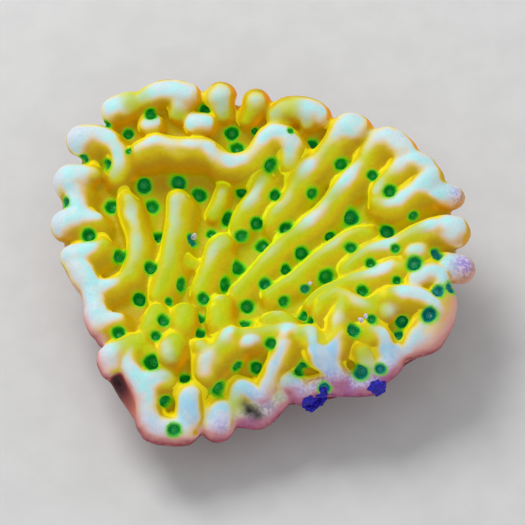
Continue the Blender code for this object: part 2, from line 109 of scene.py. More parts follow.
# The polyps: how many tentacles, their size in radii of the cup, and how deep they sit in shares of its depth
TENTACLES = 12
POLYP_SIZE = 0.72
POLYP_SINK = 0.85

# The turn from one polyp or lump of crust to the next, in radians
TURN_STEP = 2.4

# How strongly the colours glow: a painted glow of light from the skin, the polyps and the crust, which
# flattens their shading
TISSUE_PAINTED_GLOW = 0.14
CRUST_PAINTED_GLOW = 0.08

# How far from a crest, in half widths, the gold reaches its last shade
GOLD_REACH = 2.4

# Heights of the valley floors above FOOT_RISE: (pixel x, pixel y, millimetres)
FLOOR_SPOTS = [
    (240, 230, 4.6), (192, 245, 4.4), (150, 252, 4.6), (112, 206, 5.3), (90, 236, 5.3), (118, 256, 4.9),
    (144, 186, 5.4), (178, 184, 5.5), (200, 198, 5), (243, 192, 5.2), (150, 172, 6.2), (190, 172, 6.1),
    (150, 152, 7.2), (190, 152, 7.2), (230, 168, 6.3), (270, 166, 6.3), (108, 165, 6.4), (128, 136, 7),
    (170, 130, 6.9), (232, 132, 6.9), (254, 128, 7.2), (291, 129, 7.4), (85, 145, 6.5), (106, 124, 7),
    (117, 106, 7.6), (150, 98, 8.2), (180, 98, 8.5), (222, 98, 8.5), (255, 103, 8.3), (295, 108, 8.4),
    (311, 145, 6.8), (341, 164, 6.6), (345, 128, 7.6), (313, 193, 5.6), (350, 217, 5.6), (373, 174, 6.8),
    (389, 190, 6.8), (385, 142, 7.4), (425, 172, 7), (413, 215, 6.6), (387, 231, 5.9), (435, 253, 6.2),
    (413, 262, 6), (369, 263, 5.4), (326, 275, 4.6), (302, 253, 4.7), (266, 284, 4.2), (246, 305, 4),
    (224, 284, 4.1), (203, 297, 4), (182, 285, 4.2), (151, 267, 4.5), (138, 300, 4.3), (245, 323, 4.6),
    (304, 315, 4.6), (170, 302, 4.2), (155, 336, 5), (200, 335, 5), (240, 337, 5.8), (290, 336, 5.8),
    (325, 336, 5.8), (362, 291, 5.2), (397, 280, 5.6), (437, 290, 5.6), (371, 319, 5.6), (402, 321, 5.5),
    (430, 315, 5.4), (353, 328, 5.6), (399, 337, 5), (271, 343, 5.2), (237, 366, 4.2), (256, 366, 4.2),
    (300, 368, 4.2), (361, 371, 3.6), (381, 369, 3.5), (219, 387, 3.4), (186, 380, 4.2), (165, 400, 3.2),
    (173, 427, 2), (150, 361, 4.8), (222, 430, 1.6), (265, 402, 2.2), (303, 396, 2.2), (345, 390, 2.4),
    (385, 378, 2.8), (420, 350, 3.6), (445, 325, 4.6), (60, 180, 5.4), (55, 220, 5), (65, 255, 4.6),
    (76, 280, 4.4), (88, 315, 4), (118, 333, 4.2), (102, 356, 3.8), (130, 400, 2.6), (455, 200, 6.2),
    (460, 235, 5.7), (462, 270, 5), (452, 295, 4.8),
]
FLOOR_STIFFNESS = 4e-4

# The plate's own margin, where the notches between the lobes show it
MARGIN_PIXELS = [
    (66, 204), (64, 180), (80, 158), (88, 140), (99, 126), (114, 108), (138, 96), (170, 92), (204, 95),
    (240, 99), (271, 105), (304, 110), (331, 121), (352, 126), (371, 133), (391, 142), (410, 153),
    (424, 166), (439, 184), (449, 200), (454, 214), (458, 233), (456, 252), (452, 270), (448, 290),
    (447, 306), (443, 324), (430, 342), (408, 356), (392, 368), (378, 380), (352, 386), (325, 392),
    (290, 398), (262, 403), (236, 416), (204, 427), (180, 433), (150, 424), (139, 403), (125, 379),
    (110, 361), (104, 340), (88, 300), (76, 280), (64, 246), (62, 224),
]

# Ridges and lobes: the crest line in pixels with the half width at each point, the lift of the round
# crest's middle over the floor in millimetres, and how white the crest is at even steps along it; below
# 0 it is painted from pink into dark shade
RIDGES = {
    "back left lobe": ([(114, 107, 14.5), (127, 102, 13.5)], 0.3, (1, 0.35)),
    "back rim": ([(145, 97, 11), (158, 92, 12), (172, 91, 12), (188, 94, 11.5)], 0.35,
        (0.5, 0.9, 1, 0.9)),
    "back rim spur": ([(178, 96, 11), (178, 106, 10), (177, 113, 8)], 0.3, (0.9, 0.75, 0.3)),
    "second back lobe": ([(221, 97, 15.5), (223, 105, 11), (226, 114, 8)], 0.3, (0.7, 0.65, 0.4)),
    "third back lobe": ([(255, 102, 13), (250, 111, 10), (246, 119, 8)], 0.3, (0.65, 0.5, 0.2)),
    "fourth back lobe": ([(275, 115, 8), (283, 109, 11), (297, 108, 12), (311, 110, 12), (319, 115, 11)],
        0.3, (0.5, 0.55, 0.4, 0.9, 0.8)),
    "fourth back lobe spur": ([(313, 112, 10), (309, 122, 8)], 0.3, (0.8, 0.5)),
    "long ridge from the fifth lobe": ([(357, 127, 14.5), (347, 126, 15), (336, 136, 10.5),
        (327, 148, 9.5), (319, 157, 9.5), (310, 165, 9), (302, 174, 9), (296, 184, 8.5), (290, 195, 8),
        (282, 205, 7.5), (275, 212, 7), (270, 220, 6.5)], 0.45, (0.75, 0.85, 0.45, 0.82, 0.4, 0.6, 0.35)),
    "long ridge from the sixth lobe": ([(403, 146, 13.5), (388, 136, 13.5), (377, 139, 10.5),
        (369, 149, 9.5), (362, 162, 9), (350, 174, 9), (340, 184, 9), (332, 196, 9), (322, 208, 9),
        (311, 218, 9), (300, 228, 8.5), (288, 236, 8.5), (277, 246, 8.5), (268, 256, 8.5),
        (258, 266, 8.5), (248, 277, 8.5), (237, 288, 8)], 0.45,
        (1, 0.95, 0.45, 0.88, 0.4, 0.82, 0.3, 0.5, 0.35, 0.3)),
    "loop, outer arm": ([(426, 163, 11.5), (412, 158, 13), (401, 163, 10), (392, 171, 9), (384, 180, 8.5),
        (377, 191, 8)], 0.5, (1, 0.9, 0.7, 0.45, 0.6)),
    "loop, inner arm": ([(376, 199, 8), (385, 203, 8), (395, 201, 8.5), (404, 195, 8.5), (416, 187, 9),
        (432, 173, 14)], 0.5, (0.5, 0.7, 0.8, 0.85, 1, 1)),
    "right lobe": ([(437, 186, 12), (447, 190, 11.5), (456, 193, 10.5)], 0.25, (1, 1, 0.9)),
    "ridge to the second right lobe": ([(460, 225, 15), (449, 222, 12.5), (438, 222, 9.5), (427, 225, 9),
        (415, 230, 9), (404, 236, 9), (392, 242, 8.5), (379, 244, 8), (367, 249, 8), (355, 257, 7.5),
        (345, 266, 7)], 0.45, (1, 1, 0.85, 0.45, 0.5, 0.75, 0.6, 0.4, 0.3)),
    "middle ridge": ([(367, 230, 7.5), (358, 230, 8), (348, 234, 8.5), (338, 241, 8.5), (328, 248, 8.5),
        (318, 255, 8.5), (309, 263, 8.5), (299, 271, 8), (288, 279, 8), (278, 285, 7.5), (269, 291, 7)],
        0.45, (0.35, 0.6, 0.5, 0.35, 0.4, 0.3)),
    "lower middle ridge": ([(400, 265, 7.5), (391, 264, 8), (381, 268, 8), (369, 272, 8), (356, 275, 8),
        (345, 279, 8), (335, 283, 7.5), (325, 287, 7.5), (316, 293, 7), (309, 300, 7)], 0.4,
        (0.55, 0.9, 0.5, 0.35, 0.35, 0.25)),
    "right knob": ([(412, 249, 10), (418, 249, 10)], 0.4, (0.7, 0.7)),
    "ridge end on the right": ([(416, 276, 8), (427, 271, 9), (438, 270, 9), (444, 276, 9),
        (444, 287, 8)], 0.4, (0.7, 1, 1, 0.9, 0.6)),
    "low right lobe": ([(453, 261, 11), (467, 265, 13)], 0.1, (0.9, 1)),
    "arched ridge": ([(317, 308, 7), (320, 299, 8), (328, 292, 8), (338, 289, 8.5), (348, 294, 8.5),
        (359, 300, 8), (373, 304, 8)], 0.5, (0.3, 0.35, 0.4, 0.5, 0.7, 0.6, 0.4)),
    "arched ridge spur": ([(345, 295, 8), (342, 304, 8), (338, 315, 9), (336, 327, 8)], 0.45,
        (0.3, 0.4, 0.8, 0.6)),
    "right arch": ([(372, 299, 7.5), (381, 293, 8), (391, 290, 8.5), (402, 290, 9), (414, 291, 9),
        (425, 295, 9), (435, 302, 9), (443, 310, 9), (447, 318, 8)], 0.45,
        (0.1, 0.1, 0.7, 0.95, 0.95, 0.85, 0.6)),
    "right edge": ([(449, 293, 12.5), (449, 307, 12.5), (444, 321, 13.5), (431, 339, 15.5),
        (418, 346, 13.5)], 0.1, (0.3, 0.4, 0.5, 0.8, 0.85)),
    "right edge spur": ([(425, 326, 10), (419, 336, 11), (414, 348, 11)], 0.3, (0.7, 0.85, 0.8)),
    "small triangle": ([(385, 306, 8), (387, 310, 8)], 0.3, (0.4, 0.4)),
    "front right lobe": ([(396, 352, 10), (394, 363, 13), (384, 372, 13)], 0.15, (0.8, 0.9, 0.9)),
    "front right ridge": ([(364, 331, 8), (374, 330, 8.5), (383, 335, 8.5), (388, 344, 8.5),
        (392, 354, 9)], 0.35, (0.25, 0.6, 0.85, 0.95, 0.95)),
    "third front prong": ([(362, 352, 8), (368, 363, 8.5), (372, 374, 9)], 0.5, (0.4, 0.6, 0.8)),
    "front right margin": ([(375, 385, 12), (358, 387, 12), (341, 388, 11.5)], 0.3, (0.9, 0.85, 0.9)),
    "forked front ridge": ([(304, 338, 7), (311, 344, 10), (320, 351, 11), (328, 361, 11), (335, 371, 10),
        (341, 381, 11)], 0.6, (0.4, 0.95, 1, 0.9, 0.8)),
    "fork": ([(341, 333, 8), (337, 343, 9.5), (330, 352, 10)], 0.6, (0.7, 0.9, 1)),
    "front ridge": ([(289, 329, 8), (286, 340, 8.5), (282, 351, 9), (277, 363, 9), (272, 375, 9),
        (267, 387, 9.5), (263, 399, 10)], 0.4, (0.85, 0.9, 0.9, 0.85, 0.8)),
    "front lip": ([(289, 381, 10), (298, 389, 11), (303, 397, 12)], 0.45, (0.6, 0.8, 0.8)),
    "front edge": ([(305, 394, 11), (320, 389, 10), (341, 387, 11)], 0.2, (0.7, 0.7, 0.85)),
    "lower front margin": ([(278, 403, 11), (263, 415, 13.5), (247, 415, 13)], 0.2, (0.5, 0.35, 0.4)),
    "crest band": ([(236, 332, 6.5), (250, 331, 7), (265, 329, 6), (280, 327, 6.5), (292, 327, 7),
        (300, 333, 7)], 0.35, (0.3, 0.5, 0.35, 0.4, 0.8, 0.3)),
    "crest band, right part": ([(307, 339, 7), (318, 342, 8), (329, 339, 7), (338, 330, 8)], 0.3,
        (0.2, 0.1, 0.1, 0.3)),
    "white knob": ([(254, 338, 9), (248, 344, 10)], 0.3, (0.7, 1)),
    "slanted front ridge": ([(230, 331, 9), (225, 340, 10), (217, 348, 10), (207, 357, 11.5),
        (205, 366, 11)], 0.4, (0.8, 0.6, 0.3, 0.95, 0.8)),
    "little front knob": ([(200, 344, 8.5), (205, 347, 8.5)], 0.35, (0.5, 0.5)),
    "oval front knob": ([(174, 338, 13), (170, 351, 14)], 0.35, (0.12, 0.12)),
    "left inner knob": ([(156, 306, 11), (151, 316, 11.5), (148, 323, 10)], 0.35, (0.15, 0.15)),
    "middle inner knob": ([(184, 306, 13), (183, 319, 12)], 0.35, (0.12, 0.12)),
    "right inner knob": ([(222, 297, 12), (219, 309, 12), (217, 319, 10)], 0.35, (0.35, 0.3, 0.1)),
    "low dome": ([(268, 314, 9), (278, 312, 9.5), (288, 316, 8)], 0.35, (0.2, 0.45, 0.2)),
    "left front ridge": ([(137, 338, 11), (132, 348, 9), (129, 361, 9), (132, 374, 9.5), (139, 386, 10),
        (144, 400, 12), (147, 414, 14), (152, 428, 15), (171, 432, 14), (184, 432, 14)], 0.4,
        (0.12, 0.6, 0.9, 1, 0.8, 0.9, 1, 0.95, 0.8)),
    "left front spur": ([(137, 379, 9), (147, 380, 8.5), (158, 376, 8), (166, 377, 7)], 0.35,
        (0.95, 1, 0.95, 0.5)),
    "knob over the spur": ([(140, 342, 9), (146, 348, 8)], 0.3, (0.4, 0.1)),
    "front oval": ([(190, 397, 12), (191, 410, 13), (190, 422, 12)], 0.4, (0.9, 1, 0.85)),
    "front lobe": ([(222, 410, 12.5), (223, 420, 14), (221, 427, 15)], 0.25, (0.8, 0.9, 0.75)),
    "front hook": ([(241, 387, 8.5), (250, 390, 8), (258, 395, 8), (264, 402, 9)], 0.35,
        (0.85, 0.95, 0.8, 0.6)),
    "front hook leg": ([(238, 389, 8), (236, 402, 8), (235, 414, 8)], 0.3, (0.7, 0.4, 0.5)),
    "upper left lobe": ([(79, 135, 14.5), (92, 132, 11.5), (101, 133, 9.5), (109, 137, 9),
        (115, 145, 8.5), (119, 154, 8.5), (119, 164, 8), (115, 172, 7.5)], 0.45,
        (1, 0.95, 0.85, 0.7, 0.75, 0.7, 0.5)),
    "back wall": ([(138, 148, 9), (146, 144, 9.5), (156, 140, 9.5), (166, 142, 9.5), (176, 144, 9.5),
        (188, 144, 9.5), (201, 144, 9.5), (211, 147, 9), (217, 155, 9), (225, 160, 9), (236, 161, 9),
        (247, 158, 9), (255, 151, 9), (261, 143, 9), (267, 135, 9.5), (276, 131, 9.5), (286, 135, 9.5),
        (292, 143, 9), (291, 152, 8.5), (288, 161, 8)], 0.75,
        (0.7, 1, 0.75, 0.8, 0.9, 0.85, 0.9, 0.7, 0.85, 0.9, 0.8, 0.5)),
    "left knob behind the wall": ([(149, 122, 10), (153, 122, 10)], 0.2, (0.85, 0.85)),
    "right knob behind the wall": ([(194, 121, 10), (206, 122, 10)], 0.3, (0.9, 0.9)),
    "left lobe": ([(68, 175, 17.5), (79, 173, 13), (91, 171, 9)], 0.25, (1, 0.95, 0.6)),
    "left lobe bridge": ([(74, 184, 11), (75, 196, 10), (77, 209, 10)], 0.35, (1, 0.8, 0.9)),
    "second left lobe": ([(65, 218, 16), (73, 217, 12.5), (82, 214, 10), (95, 217, 9)], 0.35,
        (1, 1, 1, 0.7)),
    "third left lobe": ([(71, 252, 12), (82, 250, 10), (92, 247, 9.5), (103, 242, 8.5)], 0.35,
        (1, 1, 0.9, 0.4)),
    "left bank": ([(75, 261, 11.5), (84, 274, 12.5), (91, 286, 10.5), (94, 298, 10.5), (95, 309, 12),
        (97, 320, 11)], 0.3, (1, 1, 0.95, 1, 1)),
    "left bank hook": ([(96, 316, 10), (106, 318, 10), (116, 317, 8.5)], 0.35, (1, 1, 0.8)),
    "left bank spur": ([(100, 285, 8), (112, 283, 8), (122, 277, 7.5), (130, 270, 7.5)], 0.35,
        (1, 0.8, 0.5, 0.4)),
    "front left lobe": ([(108, 367, 10), (106, 355, 12.5), (117, 347, 11), (130, 338, 9)], 0.3,
        (0.7, 1, 0.5, 0.2)),
    # Whites below 0 paint this margin dark, as shade
    "lower left margin": ([(118, 379, 8.5), (128, 396, 9.5), (141, 413, 10)], -0.1, (-1, -0.4)),
    "first left ridge": ([(128, 198, 9), (130, 209, 9), (134, 220, 9), (138, 233, 9), (138, 246, 9),
        (135, 259, 9), (130, 271, 8.5)], 0.4, (0.5, 0.64, 0.56, 0.5, 0.45)),
    "second left ridge": ([(178, 198, 10.5), (178, 208, 10), (176, 219, 9), (174, 232, 9),
        (172, 246, 9.5), (169, 259, 9.5), (165, 271, 9.5), (160, 283, 9), (157, 292, 8)], 0.45,
        (0.6, 0.54, 0.46, 0.4, 0.3, 0.2)),
    "pip": ([(189, 261, 5.5), (193, 261, 5.5)], 0.15, (0.3, 0.3)),
    "third left ridge": ([(221, 240, 12.5), (216, 248, 11.5), (212, 258, 9.5), (208, 268, 9),
        (203, 279, 8.5), (199, 288, 8)], 0.4, (0.4, 0.6, 0.5, 0.35, 0.25)),
    "faint ridge": ([(223, 192, 7), (219, 203, 7.5), (213, 213, 7)], 0.1, (0.5, 0.45, 0.25)),
    "ridge below the arch": ([(264, 179, 8), (259, 189, 8), (252, 198, 8), (245, 207, 8), (240, 216, 8),
        (237, 224, 7)], 0.35, (0.4, 0.65, 0.6, 0.4, 0.25)),
}

# The cups: pixel x, pixel y, width in pixels, and how blue the green is; -1 is a dark gap without a polyp
CUPS = [
    (84, 157, 10, 0.3), (66, 203, 11, 0.4), (106.5, 124, 10, 0.1), (128.5, 134, 10, 0), (129, 150, 7, 0),
    (151, 114, 13, 0), (206, 110, 12, 0), (232, 133, 13, 0), (254.6, 130.5, 7, 0), (238, 148, 13, 0),
    (291, 130, 7, 0), (311, 145, 12, 0.1), (341, 163.5, 13, 0), (372.7, 174.5, 10, 0),
    (389.6, 190, 12, 0), (270, 165, 14, 0), (108.5, 164, 11, 0.1), (144, 184.5, 14.5, 0.1),
    (178.5, 182, 14.5, 0.1), (199, 195.5, 14, 0), (241.5, 192, 11, 0), (275.4, 195, 11, 0),
    (312.7, 193, 12, 0), (350.4, 217.4, 16, 0.1), (413.8, 215, 10, 0.1), (386.5, 231.6, 14.5, 0.1),
    (395.4, 248, 9, 0), (413.8, 263, 14, 0.3), (435.4, 254.3, 13.5, 0.8), (437, 290.5, 11, 0.9),
    (451, 288, 12, 1), (397, 280, 9, 0), (112.3, 206.6, 14, 0), (152.3, 206.6, 14, 0),
    (228.5, 219.3, 13, 0), (257, 223.5, 12.5, 0), (285.8, 227.8, 13, 0), (89, 234.7, 13, 0),
    (158.8, 238, 12.5, 0), (192, 239.7, 13, 0.7), (211.5, 233.5, 9, 0), (242, 235.8, 12, 0),
    (262.3, 245.5, 12, 0), (301, 252.8, 14, 0), (329.6, 235.8, 10, 0), (351, 247.4, 11, 0),
    (370.4, 263, 11, 0), (118.8, 255.5, 14, 0), (151, 267.4, 14, 0), (237.3, 266.6, 14, 0),
    (285.8, 270, 11.5, 0), (326.5, 275.8, 14, 0), (181.5, 284.3, 13, 0), (224.6, 283.5, 13, 0),
    (266, 284, 12, 0.1), (305, 288.5, 9.5, 0.5), (362, 291, 11, 0), (139.2, 299.7, 13.5, 0),
    (169.2, 301, 8, 0), (204.2, 298, 11, 0), (247, 305.8, 13.5, 0), (283.5, 301, 11.5, 0),
    (163.5, 320, 12.5, 0), (200, 318, 12, 0), (244.6, 323.5, 12, 0), (303.5, 315.5, 10, 0),
    (309.6, 322.8, 11, 0), (118.8, 333, 12, 0), (155.8, 335.8, 10, 0), (200, 334, 12, 0),
    (271, 343, 11, 0), (352.7, 329, 13, 0.2), (371.5, 318.7, 9, 0.1), (402, 320.8, 13, 0.2),
    (429.6, 314.3, 13.5, 0.8), (398.5, 335.5, 11, 0.3), (152.7, 361.5, 16, 0), (164, 400, 12, 0.1),
    (185.8, 380, 13, 0), (218.8, 388.5, 15, 0), (237.7, 366, 11, 0), (256.5, 367, 12, 0),
    (173.5, 428.8, 12, 0.1), (251, 410, 11, -1), (300.4, 368, 14.5, 0.1), (360.4, 370.4, 15, 0.7),
    (380.8, 368.8, 10, 0.8), (324, 388, 11, 1), (118, 384, 9, -1),
]

# Washes of colour over parts of the skin: pixel x, pixel y, reach in pixels and strength
WASHES = {
    "lilac": [(298, 396, 16, 0.7), (326, 386, 18, 1), (350, 386, 16, 1), (378, 382, 15, 1),
        (392, 370, 10, 0.5), (466, 264, 14, 1), (458, 194, 10, 0.6), (268, 408, 14, 0.8),
        (250, 420, 14, 0.8), (222, 430, 10, 0.6)],
    "salmon": [(454, 304, 12, 0.9), (450, 320, 13, 1), (442, 336, 12, 0.9), (428, 348, 10, 0.7),
        (404, 366, 9, 0.6), (104, 372, 12, 0.5), (138, 398, 7, 0.5)],
    "pale": [(165, 343, 5, 0.6), (167, 350, 5.5, 0.7), (170, 357, 4, 0.4), (390, 309, 6, 0.7),
        (340, 316, 5, 0.5), (207, 357, 7, 0.6), (206, 352, 5, 0.4), (176, 222, 3, 0.2),
        (219, 296, 3.5, 0.4), (277, 311, 4, 0.4)],
    "shade": [(245, 404, 5, 0.7), (250, 409, 6.5, 1), (256, 413, 6, 0.9), (260, 416, 4, 0.5),
        (116, 380, 6, 0.9), (120, 388, 7, 0.7)],
    "cold": [(190, 408, 18, 0.6), (222, 422, 18, 0.8), (152, 424, 20, 0.4), (258, 394, 18, 0.8),
        (278, 358, 16, 0.6), (300, 388, 16, 0.8), (328, 362, 24, 1), (372, 370, 16, 0.7),
        (394, 352, 18, 0.7), (430, 338, 14, 0.4)],
    "bright gold": [(306, 340, 6, 0.8), (318, 339, 8, 1), (330, 337, 7, 0.8), (339, 329, 6, 0.6),
        (372, 328, 5, 0.5), (384, 290, 7, 0.9), (231, 338, 5, 0.6), (242, 386, 5, 0.6),
        (348, 126, 5, 0.4)],
    # Amber: partly the coral's warm tone, partly painted shade on the wall's front slope, on the floor at its
    # foot and in other valleys
    "amber_and_shade": [(146, 168, 14, 1), (168, 166, 15, 1), (190, 166, 15, 1), (210, 174, 13, 0.9),
        (232, 176, 10, 0.5), (128, 190, 12, 0.7), (100, 200, 14, 0.7), (98, 232, 14, 0.6),
        (150, 128, 24, 0.7), (190, 108, 24, 0.7), (200, 134, 18, 0.6), (330, 140, 14, 0.5),
        (370, 160, 14, 0.6), (395, 178, 14, 0.7), (430, 206, 12, 0.8), (215, 372, 14, 0.9),
        (160, 398, 12, 0.6), (240, 366, 12, 0.7), (385, 314, 14, 0.7), (350, 342, 14, 0.6),
        (345, 362, 10, 0.8), (130, 290, 12, 0.4), (144, 180, 14, 0.9), (164, 182, 14, 0.9),
        (188, 184, 14, 0.9), (208, 190, 12, 0.7), (128, 170, 12, 0.8), (112, 186, 12, 0.8)],
}

# Pale specks that lie on the skin: pixel x, pixel y, width and height in pixels
SPECKS = [
    (194, 236.5, 6.5, 8), (310, 283.5, 4.5, 4), (361, 320, 5.5, 5), (366, 316.5, 5, 4.5),
    (430.4, 315.5, 3, 3.5),
]

# Patches of blue crust: pixel x, pixel y, half widths in pixels, and the number of lumps
CRUST_PATCHES = [(314, 405, 10, 8, 34), (322, 396, 4, 8, 12), (378, 388, 7, 6, 20)]
CRUST_HEIGHT = 4.4 * MM
CRUST_LUMP = 0.27 * MM
CRUST_GRAIN = 0.045 * MM


def line_of_sight(pixel_x, pixel_y):
    """The viewer's eye, and the direction in which it sees a pixel of the picture."""
    back = Vector((0.0, -math.cos(VIEW_ELEVATION), math.sin(VIEW_ELEVATION)))
    up = Vector((0.0, math.sin(VIEW_ELEVATION), math.cos(VIEW_ELEVATION)))
    right = Vector((1.0, 0.0, 0.0))
    eye = AIM_POINT + back * VIEW_DISTANCE
    seen = AIM_POINT + (right * (pixel_x - PICTURE_MIDDLE) + up * (PICTURE_MIDDLE - pixel_y)) * PIXEL
    return eye, (seen - eye).normalized()


def at_height(pixel_x, pixel_y, height):
    """Where the line of sight through a pixel comes down to a height."""
    eye, direction = line_of_sight(pixel_x, pixel_y)
    return eye + direction * ((height - eye.z) / direction.z)


class Dish:
    """The floor of the valleys: a thin bending sheet through the spot heights."""

    def __init__(self, spots, stiffness):
        points = [at_height(x, y, FOOT_RISE + high * MM) for x, y, high in spots]
        self.knots = np.array([(p.x, p.y) for p in points]) / MM
        heights = np.array([p.z for p in points]) / MM
        count = len(points)
        flat = np.column_stack([np.ones(count), self.knots])
        system = np.zeros((count + 3, count + 3))
        system[:count, :count] = self.bending(self.knots) + np.eye(count) * stiffness * count**2
        system[:count, count:] = flat
        system[count:, :count] = flat.T
        self.weights = np.linalg.solve(system, np.concatenate([heights, np.zeros(3)]))

    def bending(self, places):
        squared = ((places[:, None, :] - self.knots[None, :, :]) ** 2).sum(-1)
        return squared * np.log(np.maximum(squared, 1e-12)) / 2

    def heights(self, places):
        """Heights in metres under an array of (x, y) in metres."""
        places = np.atleast_2d(places) / MM
        count = len(self.knots)
        bent = self.bending(places) @ self.weights[:count]
        return (bent + self.weights[count] + places @ self.weights[count + 1 :]) * MM

    def floor(self, x, y):
        """The floor point under (x, y), and the floor's upward normal there."""
        step = 0.2 * MM
        middle, right, behind = self.heights(np.array([(x, y), (x + step, y), (x, y + step)]))
        normal = Vector((-(right - middle) / step, -(behind - middle) / step, 1.0)).normalized()
        return Vector((x, y, middle)), normal

    def seen_at(self, pixel_x, pixel_y, rise=0.0):
        """The floor point whose raised crest shows at a pixel, and the normal there."""
        place = at_height(pixel_x, pixel_y, FOOT_RISE + 5.0 * MM)
        for _ in range(12):
            foot, normal = self.floor(place.x, place.y)
            crest = foot + normal * rise
            wanted = at_height(pixel_x, pixel_y, crest.z)
            place = place + (wanted - crest)
        return self.floor(place.x, place.y)


def round_curve_point(before, start, end, after, t):
    """A point on the Catmull-Rom curve from start to end."""
    return 0.5 * (2 * start + (end - before) * t + (2 * before - 5 * start + 4 * end - after) * t**2
                  + (3 * start - before - 3 * end + after) * t**3)


def smooth_path(points, spacing):
    """Points spaced evenly on a round curve through the given ones."""
    points = [Vector(p) for p in points]
    ends = [points[0] * 2 - points[1]] + points + [points[-1] * 2 - points[-2]]
    path = []
    for before, start, end, after in zip(ends, ends[1:], ends[2:], ends[3:]):
        pieces = max(1, math.ceil((end - start).length / spacing))
        path += [round_curve_point(before, start, end, after, piece / pieces) for piece in range(pieces)]
    return path + [points[-1]]


def make_only(obj):
    """Leaves obj alone selected, and active."""
    bpy.ops.object.select_all(action="DESELECT")
    obj.select_set(True)
    bpy.context.view_layer.objects.active = obj


def add_shape(operator, **settings):
    """Adds one of Blender's own shapes, alone selected."""
    bpy.ops.object.select_all(action="DESELECT")
    operator(**settings)
    return bpy.context.object


def put_in_scene(name, data):
    """A new object in the scene, made of the data."""
    obj = bpy.data.objects.new(name, data)
    bpy.context.scene.collection.objects.link(obj)
    return obj


def surface_of(obj):
    """The object's surface, to find places on."""
    return BVHTree.FromObject(obj, bpy.context.evaluated_depsgraph_get())


def settle(obj):
    """Applies the piece's modifiers from the top down, and then its place."""
    make_only(obj)
    for modifier in list(obj.modifiers):
        bpy.ops.object.modifier_apply(modifier=modifier.name)
    bpy.ops.object.transform_apply(location=True, rotation=True, scale=True)
    return obj


def join_as(name, objects):
    """Joins the objects into one piece of that name."""
    make_only(objects[0])
    for obj in objects:
        obj.select_set(True)
    bpy.ops.object.join()
    joined = bpy.context.object
    joined.name = name
    joined.data.name = name
    return joined


class Margin:
    """The plate's margin in plan, as an even ring of spokes round its middle."""

    def __init__(self, dish):
        traced = [dish.seen_at(x, y)[0] for x, y in MARGIN_PIXELS]
        count = len(traced)
        ring = []
        for spoke in range(SPOKES):
            index, t = divmod(spoke * count / SPOKES, 1)
            near = [traced[(int(index) + k) % count] for k in (-1, 0, 1, 2)]
            ring.append(round_curve_point(*near, t).xy)
        self.ring = np.array(ring)
        self.middle = self.ring.mean(axis=0)
        reach = self.ring - self.middle
        turns = np.arctan2(reach[:, 1], reach[:, 0])
        order = np.argsort(turns)
        self.turns = turns[order]
        self.reaches = np.linalg.norm(reach, axis=1)[order]

    def share(self, places):
        """How far out each place lies: 0 in the middle, 1 on the margin."""
        x, y = places[..., 0] - self.middle[0], places[..., 1] - self.middle[1]
        reach = np.interp(np.arctan2(y, x), self.turns, self.reaches, period=2 * math.pi)
        return np.hypot(x, y) / reach


def plate_rings(dish, margin):
    """The plate as rings from the middle of its top, round the margin, to the edge of the flat cut."""
    middle = margin.middle
    rings = []

    def ring(share, height_of):
        places = middle + (margin.ring - middle) * share
        rings.append(np.column_stack([places, height_of(places)]))

    for step in range(1, TOP_RINGS + 1):
        ring(MARGIN_SHARE * step / TOP_RINGS, dish.heights)
    half = PLATE_THICKNESS / 2
    for degrees in (60, 30, 0, -30, -60, -90):
        turn = math.radians(degrees)
        ring(MARGIN_SHARE + (1 - MARGIN_SHARE) * math.cos(turn),
             lambda places, sink=half * (1 - math.sin(turn)): dish.heights(places) - sink)
    for step in range(1, 9):
        share = MARGIN_SHARE + (UNDERSIDE_SHARE * 0.6 - MARGIN_SHARE) * step / 8
        ease = (step / 8) ** 1.5
        ring(share, lambda places, e=ease: (dish.heights(places) - PLATE_THICKNESS) * (1 - e)
             + FOOT_NECK_HEIGHT * e)
    ring(FOOT_SHARE, lambda places: np.full(len(places), FOOT_NECK_HEIGHT * 0.5))
    ring(FOOT_SHARE, lambda places: np.zeros(len(places)))
    return Vector((*middle, dish.heights(middle)[0])), rings


def build_plate(dish, margin):
    """The bare plate and foot: a small fan whose edge is drawn out ring by ring, down to the cut."""
    top, rings = plate_rings(dish, margin)
    plate = add_shape(bpy.ops.mesh.primitive_circle_add, vertices=SPOKES, radius=MM, fill_type="TRIFAN")
    bpy.ops.object.mode_set(mode="EDIT")
    bpy.ops.mesh.select_mode(type="EDGE")
    form = bmesh.from_edit_mesh(plate.data)
    spoke_of = form.verts.layers.int.new("spoke")
    rim = [vert for vert in form.verts if vert.is_boundary]
    rim.sort(key=lambda vert: math.atan2(vert.co.y, vert.co.x))
    turns = [math.atan2(*(point[:2] - np.array(top.xy))[::-1]) for point in rings[0]]
    order = sorted(range(SPOKES), key=turns.__getitem__)
    for vert, spoke in zip(rim, order):
        vert[spoke_of] = spoke
        vert.co = rings[0][spoke]
    next(vert for vert in form.verts if not vert.is_boundary).co = top
    for edge in form.edges:
        edge.select_set(edge.is_boundary)
    form.select_flush_mode()
    bmesh.update_edit_mesh(plate.data)
    for ring in rings[1:]:
        bpy.ops.mesh.extrude_region_move()
        form = bmesh.from_edit_mesh(plate.data)
        spoke_of = form.verts.layers.int["spoke"]
        for vert in form.verts:
            if vert.select:
                vert.co = ring[vert[spoke_of]]
        bmesh.update_edit_mesh(plate.data)
    bpy.ops.mesh.edge_face_add()
    bpy.ops.mesh.select_all(action="SELECT")
    bpy.ops.mesh.normals_make_consistent(inside=False)
    bpy.ops.object.mode_set(mode="OBJECT")
    plate.data.attributes.remove(plate.data.attributes["spoke"])
    return plate


